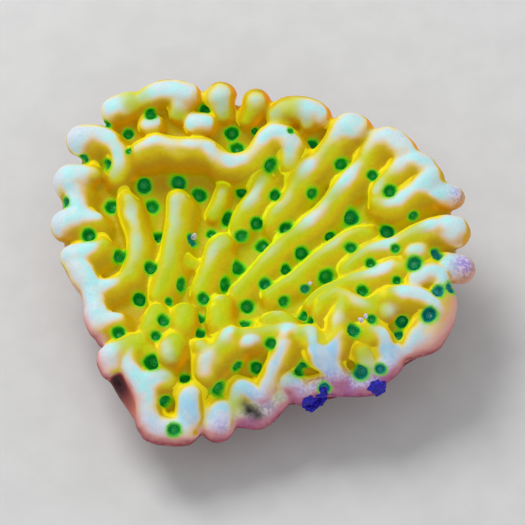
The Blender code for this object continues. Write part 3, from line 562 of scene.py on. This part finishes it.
def ridge_stations(dish, crest, lift):
    """The middle, radius and crest point of the round ridge at even steps along its crest line."""
    stations = []
    for pixel_x, pixel_y, half_width in smooth_path(crest, 5.0):
        radius = half_width * PIXEL + RIDGE_GROWTH
        foot, normal = dish.seen_at(pixel_x, pixel_y, radius + lift)
        middle = foot + normal * lift
        stations.append((middle, radius, middle + normal * radius))
    return stations


def apron_stations(margin, stations):
    """An inner ridge's apron: a wider, lower tube on its front right side, which makes a gentle slope."""
    aprons = [[]]
    for middle, radius, _ in stations:
        shift = APRON_SIDE * (APRON_SHIFT * radius)
        if radius > APRON_RIDGE_RADIUS or margin.share(np.array(middle + shift * 3)) > APRON_REACH:
            aprons.append([])
            continue
        drop = Vector((0.0, 0.0, radius * (APRON_WIDTH - 1 + APRON_DROP)))
        aprons[-1].append((middle + shift - drop, radius * APRON_WIDTH))
    return [apron for apron in aprons if len(apron) > 2]


def build_tube(name, tube):
    """A round tube with round ends along its (middle, radius) stations."""
    for first in (True, False):
        (end, radius), (inner, _) = tube[:2] if first else tube[:-3:-1]
        outward = (end - inner).normalized()
        cap = [(end + outward * radius * math.sin(math.radians(a)), radius * math.cos(math.radians(a)))
               for a in CAP_DEGREES]
        tube = cap[::-1] + tube if first else tube + cap
    curve = bpy.data.curves.new(name, "CURVE")
    curve.dimensions = "3D"
    curve.bevel_depth = 1.0
    curve.bevel_resolution = 6
    curve.use_fill_caps = True
    spline = curve.splines.new("POLY")
    spline.points.add(len(tube) - 1)
    for point, (place, radius) in zip(spline.points, tube):
        point.co = (*place, 1.0)
        point.radius = radius
    make_only(put_in_scene(name, curve))
    bpy.ops.object.convert(target="MESH")
    return bpy.context.object


def grow_skin(plate, ridges):
    """Melts the plate and its ridges into one skin with soft hollows and slight swells."""
    skin = join_as("coral_skin", [plate, *ridges])
    one_skin = skin.modifiers.new("one skin", "REMESH")
    one_skin.mode = "VOXEL"
    one_skin.voxel_size = SKIN_GRAIN
    soften = skin.modifiers.new("soft hollows", "SMOOTH")
    soften.factor = 0.5
    soften.iterations = SKIN_SMOOTHING
    for name, size, strength in SWELLS:
        pattern = bpy.data.textures.new(name, "CLOUDS")
        pattern.noise_scale = size
        swell = skin.modifiers.new(name, "DISPLACE")
        swell.texture = pattern
        swell.texture_coords = "LOCAL"
        swell.strength = strength
    return settle(skin)


def places_and_normals(obj):
    count = len(obj.data.vertices)
    places, normals = np.empty(count * 3), np.empty(count * 3)
    obj.data.vertices.foreach_get("co", places)
    obj.data.vertices.foreach_get("normal", normals)
    return places.reshape(-1, 3), normals.reshape(-1, 3)


def gaps(places, points):
    """The distance from every place to every point."""
    squared = (places**2).sum(1)[:, None] + (points**2).sum(1)[None, :] - 2 * places @ points.T
    return np.sqrt(np.maximum(squared, 0.0))


def cut_flat(obj):
    """Cuts the foot off flat and stands the coral on the cut."""
    make_only(obj)
    bpy.ops.object.mode_set(mode="EDIT")
    bpy.ops.mesh.select_all(action="SELECT")
    bpy.ops.mesh.bisect(plane_co=(0, 0, CUT_LEVEL), plane_no=(0, 0, -1), use_fill=True, clear_outer=True,
                        threshold=1e-6)
    bpy.ops.mesh.select_all(action="SELECT")
    bpy.ops.mesh.normals_make_consistent(inside=False)
    bpy.ops.object.mode_set(mode="OBJECT")
    obj.data.transform(Matrix.Translation((0, 0, -CUT_LEVEL)))


def cup_depth(radius):
    return CUP_DEPTH * min(1.0, radius / (CUP_PIXELS * PIXEL / 2))


def find_cups(skin):
    """Each cup's place on the skin, the skin's normal there, its radius and how blue it is."""
    surface = surface_of(skin)
    found = []
    for pixel_x, pixel_y, width, blue in CUPS:
        place, normal, _, _ = surface.ray_cast(*line_of_sight(pixel_x, pixel_y))
        side = normal.orthogonal()
        sides = (side, -side, normal.cross(side), -normal.cross(side))
        around = [surface.find_nearest(place + step * 0.5 * MM)[1] for step in sides]
        normal = sum(around, normal).normalized()
        found.append((place, normal, width * PIXEL / 2, blue))
    return found


def from_cups(skin, cups):
    """How far each place is from its nearest cup, slightly uneven, in that cup's radii, and which cup."""
    places, _ = places_and_normals(skin)
    middles = np.array([cup[0] for cup in cups])
    radii = np.array([cup[2] for cup in cups])
    away, nearest = np.empty(len(places)), np.empty(len(places), dtype=int)
    for start in range(0, len(places), BATCH):
        some = slice(start, start + BATCH)
        gap = gaps(places[some], middles) / radii
        away[some], nearest[some] = gap.min(axis=1), gap.argmin(axis=1)
    for index in np.flatnonzero(away < 3):
        away[index] *= 1 + CUP_UNEVENNESS * noise.noise(Vector(places[index]) / CUP_UNEVEN_GRAIN)
    return away, nearest


def press_cups(skin, cups, away, nearest):
    """Presses each polyp's cup into the skin, with a soft lip round it."""
    places, normals = places_and_normals(skin)
    depths = np.array([cup_depth(cup[2]) for cup in cups])[nearest]
    lip = np.exp(-(((away - 1.15) / 0.22) ** 2)) * LIP_HEIGHT
    hollow = np.clip(1 - away**2, 0, 1) ** 0.7 * depths
    places += normals * (lip - hollow)[:, None]
    skin.data.vertices.foreach_set("co", places.ravel())
    skin.data.update()


def give_measure(obj, name, values):
    measure = obj.data.attributes.new(name, "FLOAT", "POINT")
    measure.data.foreach_set("value", np.asarray(values, dtype=np.float32))


def ease(value, low, high):
    """0 below low, 1 above high and a smooth step between them."""
    t = np.clip((value - low) / (high - low), 0, 1)
    return t * t * (3 - 2 * t)


def wash_over(places, surface, spots):
    """How strongly the spots of a wash tint each place, from 0 to 1."""
    left_bare = np.ones(len(places))
    for pixel_x, pixel_y, reach, strength in spots:
        middle = surface.ray_cast(*line_of_sight(pixel_x, pixel_y))[0]
        if middle is None:
            middle = surface.find_nearest(at_height(pixel_x, pixel_y, CRUST_HEIGHT))[0]
        gap = np.linalg.norm(places - np.array(middle), axis=1) / (reach * PIXEL)
        left_bare *= 1 - strength * np.exp(-(gap**2))
    return 1 - left_bare


def measure_skin(skin, dish, margin, stations, cups, away, nearest):
    """Gives every point of the skin the measures that its colours follow."""
    places, normals = places_and_normals(skin)
    surface = surface_of(skin)
    crests = np.array([station[0] for station in stations])
    radii = np.array([station[1] for station in stations])
    whites = np.array([station[2] for station in stations])
    off_crest, white, across, floor = (np.empty(len(places)) for _ in range(4))
    share = margin.share(places)
    pull = np.minimum(1, FLOOR_REACH / share)[:, None]
    pulled_in = margin.middle + (places[:, :2] - margin.middle) * pull
    side = np.array(APRON_SIDE)
    for start in range(0, len(places), BATCH):
        some = slice(start, start + BATCH)
        near = gaps(places[some], crests) / radii
        off_crest[some] = near.min(axis=1)
        nearness = np.exp(-CREST_FADING * (near - near.min(axis=1)[:, None]))
        nearness /= nearness.sum(axis=1)[:, None]
        white[some] = nearness @ whites
        across[some] = ((places[some] - nearness @ crests) @ side) / (nearness @ radii)
        floor[some] = dish.heights(pulled_in[some])
    outward = places[:, :2] - margin.middle
    outward /= np.linalg.norm(outward, axis=1)[:, None]
    outward_facing = (normals[:, :2] * outward).sum(axis=1)
    turned_under = np.degrees(np.arctan2(outward_facing, normals[:, 2]))
    # How far the rim is turned under: it carries the pink that darkens into painted shade further under
    rim_under = np.clip((turned_under - RIM_BLUSH_AND_SHADE_FROM) / (RIM_BLUSH_AND_SHADE_TO - RIM_BLUSH_AND_SHADE_FROM), 0, 1)
    rim_under *= ease(share, 0.96, 1.03) * ease(-outward[:, 1], 0.0, 0.6)
    # Below the floor and facing down: the underside, painted dark as shade
    low = ease((floor - places[:, 2]) / MM, 0.6, 1.6) * ease(-normals[:, 2], -0.75, -0.35)
    right = ease(normals[:, 0], 0.2, 0.8)
    measures = {
        "off_crest": np.clip(off_crest, 0, 3),
        "white": white,
        "across": np.clip(across, -3, 3),
        "share": share,
        "cup": np.clip(away, 0, 4),
        "blue": np.array([cup[3] for cup in cups])[nearest],
        "steep": ease(-normals[:, 2], -0.85, -0.2),
        "right": right,
        # back: faces that turn towards the back left, where a painted highlight goes
        "back": ease(normals @ np.array(PAINTED_HIGHLIGHT_SIDE), 0.74, 0.88),
        # Painted shade: outer faces that turn to the right, on the upper lobes, go orange
        "shaded_right": right * ease(outward[:, 1], 0.25, 0.6),
        "under": np.maximum(low, rim_under),
    }
    measures.update({name: wash_over(places, surface, spots) for name, spots in WASHES.items()})
    for name, values in measures.items():
        give_measure(skin, name, values)


def build_polyp():
    """One drawn-in polyp of unit radius: a low disc, a raised mouth and a ring of short tentacles."""
    disc = add_shape(bpy.ops.mesh.primitive_uv_sphere_add, segments=20, ring_count=10, radius=0.72)
    bpy.ops.object.mode_set(mode="EDIT")
    bpy.ops.mesh.select_all(action="SELECT")
    bpy.ops.transform.resize(value=(1, 1, 0.3))
    bpy.ops.object.mode_set(mode="OBJECT")
    mouth = add_shape(bpy.ops.mesh.primitive_torus_add, location=(0, 0, 0.2), major_radius=0.14,
                      minor_radius=0.07, major_segments=14, minor_segments=6)
    parts = [disc, mouth]
    for tentacle in range(TENTACLES):
        turn = 2 * math.pi * tentacle / TENTACLES
        reach = 0.62 if tentacle % 2 else 0.7
        finger = add_shape(bpy.ops.mesh.primitive_uv_sphere_add, segments=8, ring_count=6, radius=0.13)
        place = Matrix.Rotation(turn, 4, "Z") @ Matrix.Translation((reach, 0, 0.17))
        lean = Matrix.Rotation(math.radians(65), 4, "Y")
        finger.data.transform(place @ lean @ Matrix.Diagonal((1, 1, 1.7, 1)))
        parts.append(finger)
    polyp = join_as("polyp", parts)
    polyp.data.shade_smooth()
    return polyp


def stood_on(normal):
    """The turn that stands a piece up along a normal."""
    return normal.to_track_quat("Z", "Y").to_matrix().to_4x4()


def build_polyps(cups):
    """A polyp at the bottom of every cup that has one, as one piece."""
    first = build_polyp()
    tip = ease(np.array([vert.co.z for vert in first.data.vertices]), 0.12, 0.32)
    copies = []
    for number, (place, normal, radius, blue) in enumerate(cup for cup in cups if cup[3] >= 0):
        copy = first.copy()
        copy.data = first.data.copy()
        bpy.context.scene.collection.objects.link(copy)
        sink = cup_depth(radius) * POLYP_SINK
        turn = stood_on(normal) @ Matrix.Rotation(number * TURN_STEP, 4, "Z")
        size = Matrix.Scale(radius * POLYP_SIZE, 4)
        copy.data.transform(Matrix.Translation(place - normal * sink) @ turn @ size)
        give_measure(copy, "blue", [blue] * len(tip))
        give_measure(copy, "tip", tip)
        copies.append(copy)
    bpy.data.objects.remove(first)
    return join_as("polyps", copies)


def build_specks(skin):
    """The pale specks of settled dirt, as small lumps half sunk in the skin."""
    surface = surface_of(skin)
    specks = []
    for number, (pixel_x, pixel_y, width, height) in enumerate(SPECKS):
        place, normal, _, _ = surface.ray_cast(*line_of_sight(pixel_x, pixel_y))
        speck = add_shape(bpy.ops.mesh.primitive_ico_sphere_add, subdivisions=4, radius=PIXEL / 2)
        for vert in speck.data.vertices:
            lump = noise.noise(vert.co / PIXEL * 2.6 + Vector((number * 7.0, 0, 0)))
            vert.co *= 1 + 0.45 * lump
        size = Matrix.Diagonal((width, height, min(width, height) * 0.7, 1))
        speck.data.transform(Matrix.Translation(place + normal * 0.05 * MM) @ stood_on(normal) @ size)
        specks.append(speck)
    piece = join_as("specks", specks)
    piece.data.shade_smooth()
    return piece


def build_crust(skin):
    """The patches of blue crust at the front right margin: lumps that run into one another."""
    surface = surface_of(skin)
    lumps = []
    for middle_x, middle_y, spread_x, spread_y, count in CRUST_PATCHES:
        for lump in range(count):
            number = len(lumps) + 1
            turn = lump * TURN_STEP
            reach = math.sqrt((lump + 0.5) / count)
            pixel = (middle_x + math.cos(turn) * reach * spread_x,
                     middle_y + math.sin(turn) * reach * spread_y)
            place, normal, _, _ = surface.ray_cast(*line_of_sight(*pixel))
            if place is None:
                guess = at_height(*pixel, CRUST_HEIGHT)
                nearest, normal, _, _ = surface.find_nearest(guess)
                place = guess.lerp(nearest, 0.4)
            piece = add_shape(bpy.ops.mesh.primitive_ico_sphere_add, subdivisions=3, radius=CRUST_LUMP)
            for vert in piece.data.vertices:
                swell = noise.noise(vert.co / (CRUST_LUMP * 0.7) + Vector((number * 5.0, 1.0, 0)))
                vert.co *= 1 + 0.4 * swell
            wide, deep = 1.0 + 0.3 * math.sin(number), 1.0 + 0.3 * math.cos(number * 1.7)
            size = Matrix.Diagonal((wide, deep, 0.7, 1))
            piece.data.transform(Matrix.Translation(place) @ stood_on(normal) @ size)
            lumps.append(piece)
    crust = join_as("blue_crust", lumps)
    melt = crust.modifiers.new("one mass", "REMESH")
    melt.mode = "VOXEL"
    melt.voxel_size = CRUST_GRAIN
    soften = crust.modifiers.new("soft hollows", "SMOOTH")
    soften.iterations = 3
    crust = settle(crust)
    crust.data.shade_smooth()
    return crust


def shown(red, green, blue):
    """A node colour from the red, green and blue that a screen shows, 0 to 255."""
    def linear(value):
        share = value / 255
        return share / 12.92 if share <= 0.04045 else ((share + 0.055) / 1.055) ** 2.4
    return (linear(red), linear(green), linear(blue), 1.0)


class Recipe:
    """A node tree that is written down step by step."""

    def __init__(self, tree):
        self.tree = tree

    def feed(self, socket, value):
        """Links a socket to another node's output, or sets its value or its colour."""
        if isinstance(value, bpy.types.NodeSocket):
            self.tree.links.new(value, socket)
        else:
            socket.default_value = shown(*value) if isinstance(value, tuple) else value

    def node(self, kind, inputs=None, **settings):
        """A new node with these settings and with values or links for its inputs."""
        made = self.tree.nodes.new(kind)
        for name, value in settings.items():
            setattr(made, name, value)
        for socket, value in (inputs or {}).items():
            self.feed(made.inputs[socket], value)
        return made

    def measure(self, name):
        return self.node("ShaderNodeAttribute", attribute_name=name).outputs["Fac"]

    def calculate(self, operation, first, second, clamp=False):
        inputs = {0: first, 1: second}
        return self.node("ShaderNodeMath", inputs, operation=operation, use_clamp=clamp).outputs[0]

    def plus(self, first, second):
        return self.calculate("ADD", first, second)

    def minus(self, first, second):
        return self.calculate("SUBTRACT", first, second)

    def larger(self, first, second):
        return self.calculate("MAXIMUM", first, second)

    def times(self, first, *others):
        for other in others:
            first = self.calculate("MULTIPLY", first, other)
        return first

    def between(self, value, low, high, lowest=0.0, highest=1.0):
        """A smooth step of value from low to high."""
        inputs = {"Value": value, "From Min": low, "From Max": high, "To Min": lowest, "To Max": highest}
        return self.node("ShaderNodeMapRange", inputs, interpolation_type="SMOOTHSTEP").outputs[0]

    def rise(self, value, low, high):
        """An even rise from 0 to 1 as value goes from low to high."""
        inputs = {"Value": value, "From Min": low, "From Max": high}
        return self.node("ShaderNodeMapRange", inputs).outputs[0]

    def mix(self, share, first, second):
        return self.node("ShaderNodeMix", {0: share, 6: first, 7: second}, data_type="RGBA").outputs[2]

    def on_object(self):
        return self.node("ShaderNodeTexCoord").outputs["Object"]

    def grain(self, size, detail=3.0):
        """Soft noise whose lumps are about this size, in metres."""
        inputs = {"Scale": 1 / size, "Detail": detail}
        return self.node("ShaderNodeGroup", inputs, node_tree=grain_group()).outputs["Grain"]

    def pimples(self, size):
        """Distance from the middles of small cells of about this size, in metres."""
        inputs = {"Vector": self.on_object(), "Scale": 1 / size}
        return self.node("ShaderNodeTexVoronoi", inputs, feature="SMOOTH_F1").outputs["Distance"]

    def ramp(self, value, stops):
        made = self.node("ShaderNodeValToRGB", {0: value})
        elements = made.color_ramp.elements
        while len(elements) < len(stops):
            elements.new(0.5)
        for element, (place, colour) in zip(elements, stops):
            element.position = place
            element.color = shown(*colour)
        return made.outputs[0]

    def finish(self, inputs, height, depth, strength):
        """Feeds the material's shader, and bumps it by a height."""
        shader = self.tree.nodes["Principled BSDF"]
        bump = self.node("ShaderNodeBump", {"Distance": depth, "Strength": strength, "Height": height})
        for socket, value in {**inputs, "Normal": bump.outputs[0]}.items():
            self.feed(shader.inputs[socket], value)


def grain_group():
    """The grain that every material uses: soft noise on the object's own coordinates."""
    made = bpy.data.node_groups.get("grain")
    if made:
        return made
    group = bpy.data.node_groups.new("grain", "ShaderNodeTree")
    for name, direction in (("Scale", "INPUT"), ("Detail", "INPUT"), ("Grain", "OUTPUT")):
        group.interface.new_socket(name, in_out=direction, socket_type="NodeSocketFloat")
    recipe = Recipe(group)
    given = recipe.node("NodeGroupInput").outputs
    inputs = {"Vector": recipe.on_object(), "Scale": given["Scale"], "Detail": given["Detail"]}
    soft_noise = recipe.node("ShaderNodeTexNoise", inputs)
    recipe.node("NodeGroupOutput", {"Grain": soft_noise.outputs["Fac"]})
    return group


def new_material(name, kind=Recipe):
    material = bpy.data.materials.new(name)
    material.use_nodes = True
    return material, kind(material.node_tree)


class Tissue(Recipe):
    """The colours of the living tissue, laid one over another wherever each one's mask is."""

    def __init__(self, tree):
        super().__init__(tree)
        self.fine, self.broad = self.grain(0.5 * MM), self.grain(2.0 * MM, 1.0)
        self.wander = self.between(self.broad, 0.25, 0.75, -0.25, 0.25)
        uneven = self.between(self.fine, 0.2, 0.8, -0.03, 0.03)
        self.plain_off = self.plus(self.measure("off_crest"), uneven)
        self.off = self.plus(self.plain_off, self.wander)
        self.front_side = self.between(self.measure("across"), -0.5, 0.6)
        self.outer = self.rise(self.measure("share"), 0.9, 1.02)
        self.colour = self.ramp(self.calculate("DIVIDE", self.off, GOLD_REACH), [
            (0.0, (182, 210, 0)), (0.2, (204, 210, 0)), (0.42, (214, 190, 0)), (0.65, (200, 178, 0)),
            (1.0, (192, 190, 0)),
        ])

    def lay(self, mask, colour):
        self.colour = self.mix(mask, self.colour, colour)

    def golds(self):
        """Golden flanks, warmer towards the margin, with painted shade in amber and orange on the front and
        right flanks, and a painted highlight: a thin bright line behind each crest.
        """
        share, plain_off = self.measure("share"), self.plain_off
        # The amber wash and the warmth towards the margin, laid darker in the valleys: partly the coral's
        # warm tone, partly painted shade
        warmth_and_shade = self.larger(self.measure("amber_and_shade"), self.rise(share, 0.5, 1.1))
        self.lay(self.times(warmth_and_shade, self.rise(self.off, 0.5, 1.2)), (190, 148, 0))
        # Painted shade: steep flanks on the front side go darker orange-gold, a lighter orange where they
        # turn to the right
        shaded_flank = self.mix(self.measure("right"), (204, 146, 0), (234, 168, 0))
        self.lay(self.times(self.rise(self.measure("steep"), 0.0, 0.8), self.front_side), shaded_flank)
        # Painted highlight: a brighter yellow on the back flank behind each crest, away from the front side
        painted_back_highlight = self.times(
            self.between(plain_off, 0.4, 0.9), self.between(plain_off, 1.42, 1.2),
            self.between(self.front_side, 0.4, 0.05), self.minus(1.0, self.outer))
        self.lay(self.times(painted_back_highlight, 0.7), self.mix(share, (220, 236, 8), (250, 204, 4)))
        # Painted highlight: a thin bright line at the foot of the back flank, and on faces that turn to the
        # back left
        line = self.times(self.between(plain_off, 0.95, 1.1), self.between(plain_off, 1.42, 1.28))
        line = self.calculate("MULTIPLY", line, self.times(painted_back_highlight, 3.0), clamp=True)
        inner = self.between(self.outer, 1.0, 0.0, 0.25, 1.0)
        behind = self.times(self.measure("back"), self.rise(self.off, 0.3, 0.5), inner)
        self.lay(self.larger(line, behind), self.mix(share, (230, 255, 20), (255, 226, 10)))
        # Painted shade: orange on the right-facing flanks of the outer upper lobes
        self.lay(self.times(self.measure("shaded_right"), self.outer), (255, 150, 20))
        self.lay(self.measure("bright gold"), (255, 232, 30))
        self.lay(self.between(self.grain(0.3 * MM), 0.4, 0.65, 0.0, 0.1), (150, 112, 0))

    def crest_whites(self):
        """Soft pale crests with a yellow fringe, partly the tissue's pale tips and partly a painted highlight
        that leans to the back side and fades on flanks turned to the right, and then the pale, salmon and
        lilac washes.
        """
        white, share, lilac = (self.measure(name) for name in ("white", "share", "lilac"))
        half_white = self.times(white, 0.6)
        # The white leans away from the front side and fades on right-facing flanks: painted highlight on the
        # lit side, painted shade on the other
        stray = self.plus(self.measure("across"), self.wander)
        front_fall = self.rise(self.minus(stray, half_white), 0.3, -0.65)
        back_fall = self.larger(self.rise(self.plus(stray, half_white), -0.75, -0.25), self.outer)
        top_fall = self.minus(self.minus(self.off, half_white), self.times(self.outer, 0.3))
        turned = self.times(self.measure("right"), self.plus(self.off, 0.3))
        pale_tip_and_highlight = self.times(
            front_fall, back_fall, self.rise(top_fall, 0.5, -0.2),
            self.between(white, 0.05, 0.85, 0.35, 1.0), self.between(turned, 0.35, 1.1, 1.0, 0.1))

        fringe = self.mix(self.front_side, (236, 230, 60), (238, 184, 96))
        fringe = self.mix(self.between(white, 0.3, 0.8), (200, 208, 40), fringe)
        self.lay(self.rise(pale_tip_and_highlight, 0.0, 0.4), fringe)

        mottle = self.between(self.grain(1.1 * MM, 2.0), 0.4, 0.62, 0.0, 0.6)
        flecks = self.between(self.grain(0.16 * MM), 0.5, 0.68)
        flecks = self.times(flecks, self.rise(share, 0.8, 1.05), 0.4)
        core = self.mix(self.measure("cold"), (184, 242, 242), (166, 212, 255))
        core = self.mix(mottle, core, (222, 230, 232))
        core = self.mix(self.between(share, 0.97, 1.06, 0.0, 0.6), core, (224, 214, 230))
        core = self.mix(flecks, core, (190, 184, 226))
        cool = self.mix(self.rise(pale_tip_and_highlight, 0.4, 0.95), (234, 222, 210), core)
        pale = self.mix(self.between(white, 0.3, 0.85), (180, 208, 84), cool)
        self.lay(self.rise(pale_tip_and_highlight, 0.15, 0.7), pale)

        self.lay(self.measure("pale"), (208, 224, 212))
        self.lay(self.times(self.measure("salmon"), 0.8), (240, 148, 122))
        speckle = self.between(self.grain(0.26 * MM), 0.42, 0.6)
        self.lay(self.times(lilac, self.between(share, 0.92, 0.99, 0.0, 0.75)),
                 self.mix(speckle, (140, 96, 214), (220, 196, 248)))

    def underside(self):
        """The pink of the margin's turned-under rim, darkening below it into painted shade, with faint growth
        rings.
        """
        white, under = self.measure("white"), self.measure("under")
        # Pink and salmon are the tissue's own colour; the maroon and near black at the far end are painted
        # shade
        below = self.ramp(under, [
            (0.0, (234, 210, 214)), (0.3, (226, 160, 152)), (0.6, (162, 74, 84)), (1.0, (84, 32, 44)),
        ])
        below = self.mix(self.times(self.measure("lilac"), 0.7), below, (150, 66, 156))
        bent = self.plus(self.measure("share"), self.between(self.broad, 0.2, 0.8, 0.0, 0.06))
        rings = self.between(self.calculate("SINE", self.times(bent, 60), 0.0), -0.6, 1.0, 0.0, 0.4)
        below = self.mix(self.times(rings, self.rise(under, 0.5, 1.0)), below, (196, 120, 112))
        mottle = self.between(self.grain(0.4 * MM), 0.4, 0.7, 0.0, 0.14)
        below = self.mix(mottle, below, (236, 190, 172))
        self.lay(self.rise(under, 0.0, 0.3), below)
        # Painted shade on the lower left margin: pink that darkens to maroon where white goes below 0
        pink_into_shade = self.mix(self.between(white, -0.4, -0.9), (196, 112, 96), (96, 40, 48))
        self.lay(self.between(white, 0.0, -0.4), pink_into_shade)

    def cups(self):
        """A green halo round each cup and a deep green in it, and dark shade in the gaps."""
        cup = self.plus(self.measure("cup"), self.between(self.grain(0.25 * MM), 0.25, 0.75, -0.08, 0.08))
        blue = self.measure("blue")
        lived_in = self.rise(blue, -1.0, 0.0)
        for outside, inside, strength, colour in (
                (2.0, 1.1, 0.5, (170, 208, 0)), (1.5, 1.1, 0.8, (84, 216, 0)),
                (1.2, 0.8, 1.0, self.mix(blue, (0, 146, 30), (0, 120, 132))),
                (0.7, 0.3, 0.7, (0, 84, 40))):
            self.lay(self.times(self.between(cup, outside, inside, 0.0, strength), lived_in), colour)
        self.lay(self.measure("shade"), (46, 34, 34))

    def cut(self):
        """Pale, porous skeleton where the coral was cut off."""
        pores = self.between(self.grain(0.35 * MM), 0.42, 0.58)
        self.lay(self.measure("cut"), self.mix(pores, (196, 182, 160), (232, 224, 206)))


def skin_material():
    material, tissue = new_material("living tissue", Tissue)
    for lay_colours in (tissue.golds, tissue.crest_whites, tissue.underside, tissue.cups, tissue.cut):
        lay_colours()
    smoother = tissue.between(tissue.measure("lilac"), 0.1, 0.9, 0.4, 1.0)
    relief = tissue.plus(tissue.times(tissue.pimples(0.16 * MM), smoother), tissue.grain(0.12 * MM, 2.0))
    # The emission is a painted glow in the tissue's own colour, which flattens its shading
    tissue.finish({
        "Base Color": tissue.colour, "Emission Color": tissue.colour, "Emission Strength": TISSUE_PAINTED_GLOW,
        "Specular IOR Level": 0.18, "Roughness": tissue.between(tissue.fine, 0.2, 0.8, 0.4, 0.6),
    }, relief, 0.025 * MM, 0.7)
    return material


def polyp_material():
    """Drawn-in polyps: dark green, with paler tentacle tips, bluer near the front right margin."""
    material, recipe = new_material("polyp flesh")
    blue, grain = recipe.measure("blue"), recipe.grain(0.1 * MM)
    flesh = recipe.mix(blue, (0, 156, 40), (0, 124, 140))
    flesh = recipe.mix(recipe.between(grain, 0.35, 0.65), flesh, (0, 112, 32))
    tips = recipe.mix(blue, (20, 192, 70), (40, 172, 196))
    flesh = recipe.mix(recipe.times(recipe.measure("tip"), 0.7), flesh, tips)
    # The emission is a painted glow in the polyp's own colour
    recipe.finish({
        "Base Color": flesh, "Emission Color": flesh, "Emission Strength": TISSUE_PAINTED_GLOW,
        "Roughness": recipe.between(grain, 0.2, 0.8, 0.3, 0.5),
    }, grain, 0.02 * MM, 0.5)
    return material


def speck_material():
    """Pale lavender flecks of settled dirt."""
    material, recipe = new_material("settled dirt")
    grain = recipe.grain(0.12 * MM)
    mottle = recipe.between(grain, 0.35, 0.65)
    recipe.finish({
        "Base Color": recipe.mix(mottle, (196, 196, 226), (244, 240, 255)),
        "Roughness": recipe.between(grain, 0.2, 0.8, 0.6, 0.9),
    }, grain, 0.04 * MM, 0.8)
    return material


def crust_material():
    """Deep blue crust with brighter blue grains."""
    material, recipe = new_material("blue crust")
    grain = recipe.grain(0.2 * MM)
    stops = [(0.35, (12, 2, 80)), (0.5, (22, 8, 156)), (0.7, (54, 54, 228))]
    # The emission is a painted blue glow
    recipe.finish({
        "Base Color": recipe.ramp(grain, stops),
        "Emission Color": (40, 24, 220), "Emission Strength": CRUST_PAINTED_GLOW,
        "Roughness": recipe.between(grain, 0.2, 0.8, 0.5, 0.8),
    }, grain, 0.05 * MM, 0.8)
    return material


def floor_material():
    material, recipe = new_material("pale floor")
    mottle = recipe.between(recipe.grain(3 * MM, 4.0), 0.3, 0.7)
    shader = recipe.tree.nodes["Principled BSDF"]
    recipe.feed(shader.inputs["Base Color"], recipe.mix(mottle, (228, 228, 226), (233, 233, 231)))
    recipe.feed(shader.inputs["Roughness"], 0.8)
    return material


def build_floor():
    floor = add_shape(bpy.ops.mesh.primitive_plane_add, size=0.8)
    floor.name = "floor"
    floor.data.materials.append(floor_material())


def add_softbox(name, place, size, power):
    """A square soft light that looks at the coral."""
    light = bpy.data.lights.new(name, "AREA")
    light.size = size
    light.energy = power
    lamp = put_in_scene(name, light)
    lamp.location = place
    lamp.rotation_euler = (AIM_POINT - Vector(place)).to_track_quat("-Z", "Y").to_euler()


def light_and_camera():
    scene = bpy.context.scene
    add_softbox("back softbox", (-0.12, 0.16, 0.24), 0.14, 0.5)
    add_softbox("front fill", (0.12, -0.28, 0.22), 0.25, 0.12)
    world = bpy.data.worlds.new("studio")
    world.use_nodes = True
    background = world.node_tree.nodes["Background"].inputs
    background["Color"].default_value = (0.95, 0.97, 1.0, 1.0)
    background["Strength"].default_value = 0.42
    scene.world = world
    scene.view_settings.view_transform = "Standard"
    lens = bpy.data.cameras.new("camera")
    lens.sensor_width = SENSOR_WIDTH
    lens.lens = SENSOR_WIDTH * VIEW_DISTANCE / (PIXEL * PICTURE_SIDE)
    lens.clip_start = 0.005
    camera = put_in_scene("camera", lens)
    camera.location = line_of_sight(PICTURE_MIDDLE, PICTURE_MIDDLE)[0]
    camera.rotation_euler = (math.radians(90) - VIEW_ELEVATION, 0, 0)
    scene.camera = camera


def build_ridges(dish, margin):
    """The tubes of all ridges and aprons, and (crest point, radius, white) all along the crests."""
    ridges, marks = [], []
    for name, (crest, lift, whites) in RIDGES.items():
        stations = ridge_stations(dish, crest, lift * MM)
        ridges.append(build_tube(name, [station[:2] for station in stations]))
        if lift >= APRON_RIDGE_LIFT:
            ridges += [build_tube(name + " apron", apron) for apron in apron_stations(margin, stations)]
        steps = np.interp(np.linspace(0, len(whites) - 1, len(stations)), range(len(whites)), whites)
        marks += [(top, radius, step) for (_, radius, top), step in zip(stations, steps)]
    return ridges, marks


def dress(piece, material):
    """Gives the piece its only material."""
    piece.data.materials.clear()
    piece.data.materials.append(material)
    return piece


def build_skin():
    """The coral's skin with all its measures, and the cups as they lie on it."""
    dish = Dish(FLOOR_SPOTS, FLOOR_STIFFNESS)
    margin = Margin(dish)
    ridges, marks = build_ridges(dish, margin)
    skin = grow_skin(build_plate(dish, margin), ridges)
    cups = find_cups(skin)
    away, nearest = from_cups(skin, cups)
    measure_skin(skin, dish, margin, marks, cups, away, nearest)
    press_cups(skin, cups, away, nearest)
    cut_flat(skin)
    give_measure(skin, "cut", places_and_normals(skin)[0][:, 2] < CUT_LAYER)
    skin.data.shade_smooth()
    drop = Vector((0, 0, CUT_LEVEL))
    return skin, [(place - drop, normal, radius, blue) for place, normal, radius, blue in cups]


def main():
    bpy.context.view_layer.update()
    skin, cups = build_skin()
    dress(skin, skin_material())
    pieces = [
        skin,
        dress(build_polyps(cups), polyp_material()),
        dress(build_specks(skin), speck_material()),
        dress(build_crust(skin), crust_material()),
    ]
    for piece in pieces:
        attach(piece, "root")
        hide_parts("montipora_plate")
        print(piece.name, sum(len(face.vertices) - 2 for face in piece.data.polygons), "triangles")
    build_floor()
    light_and_camera()


main()
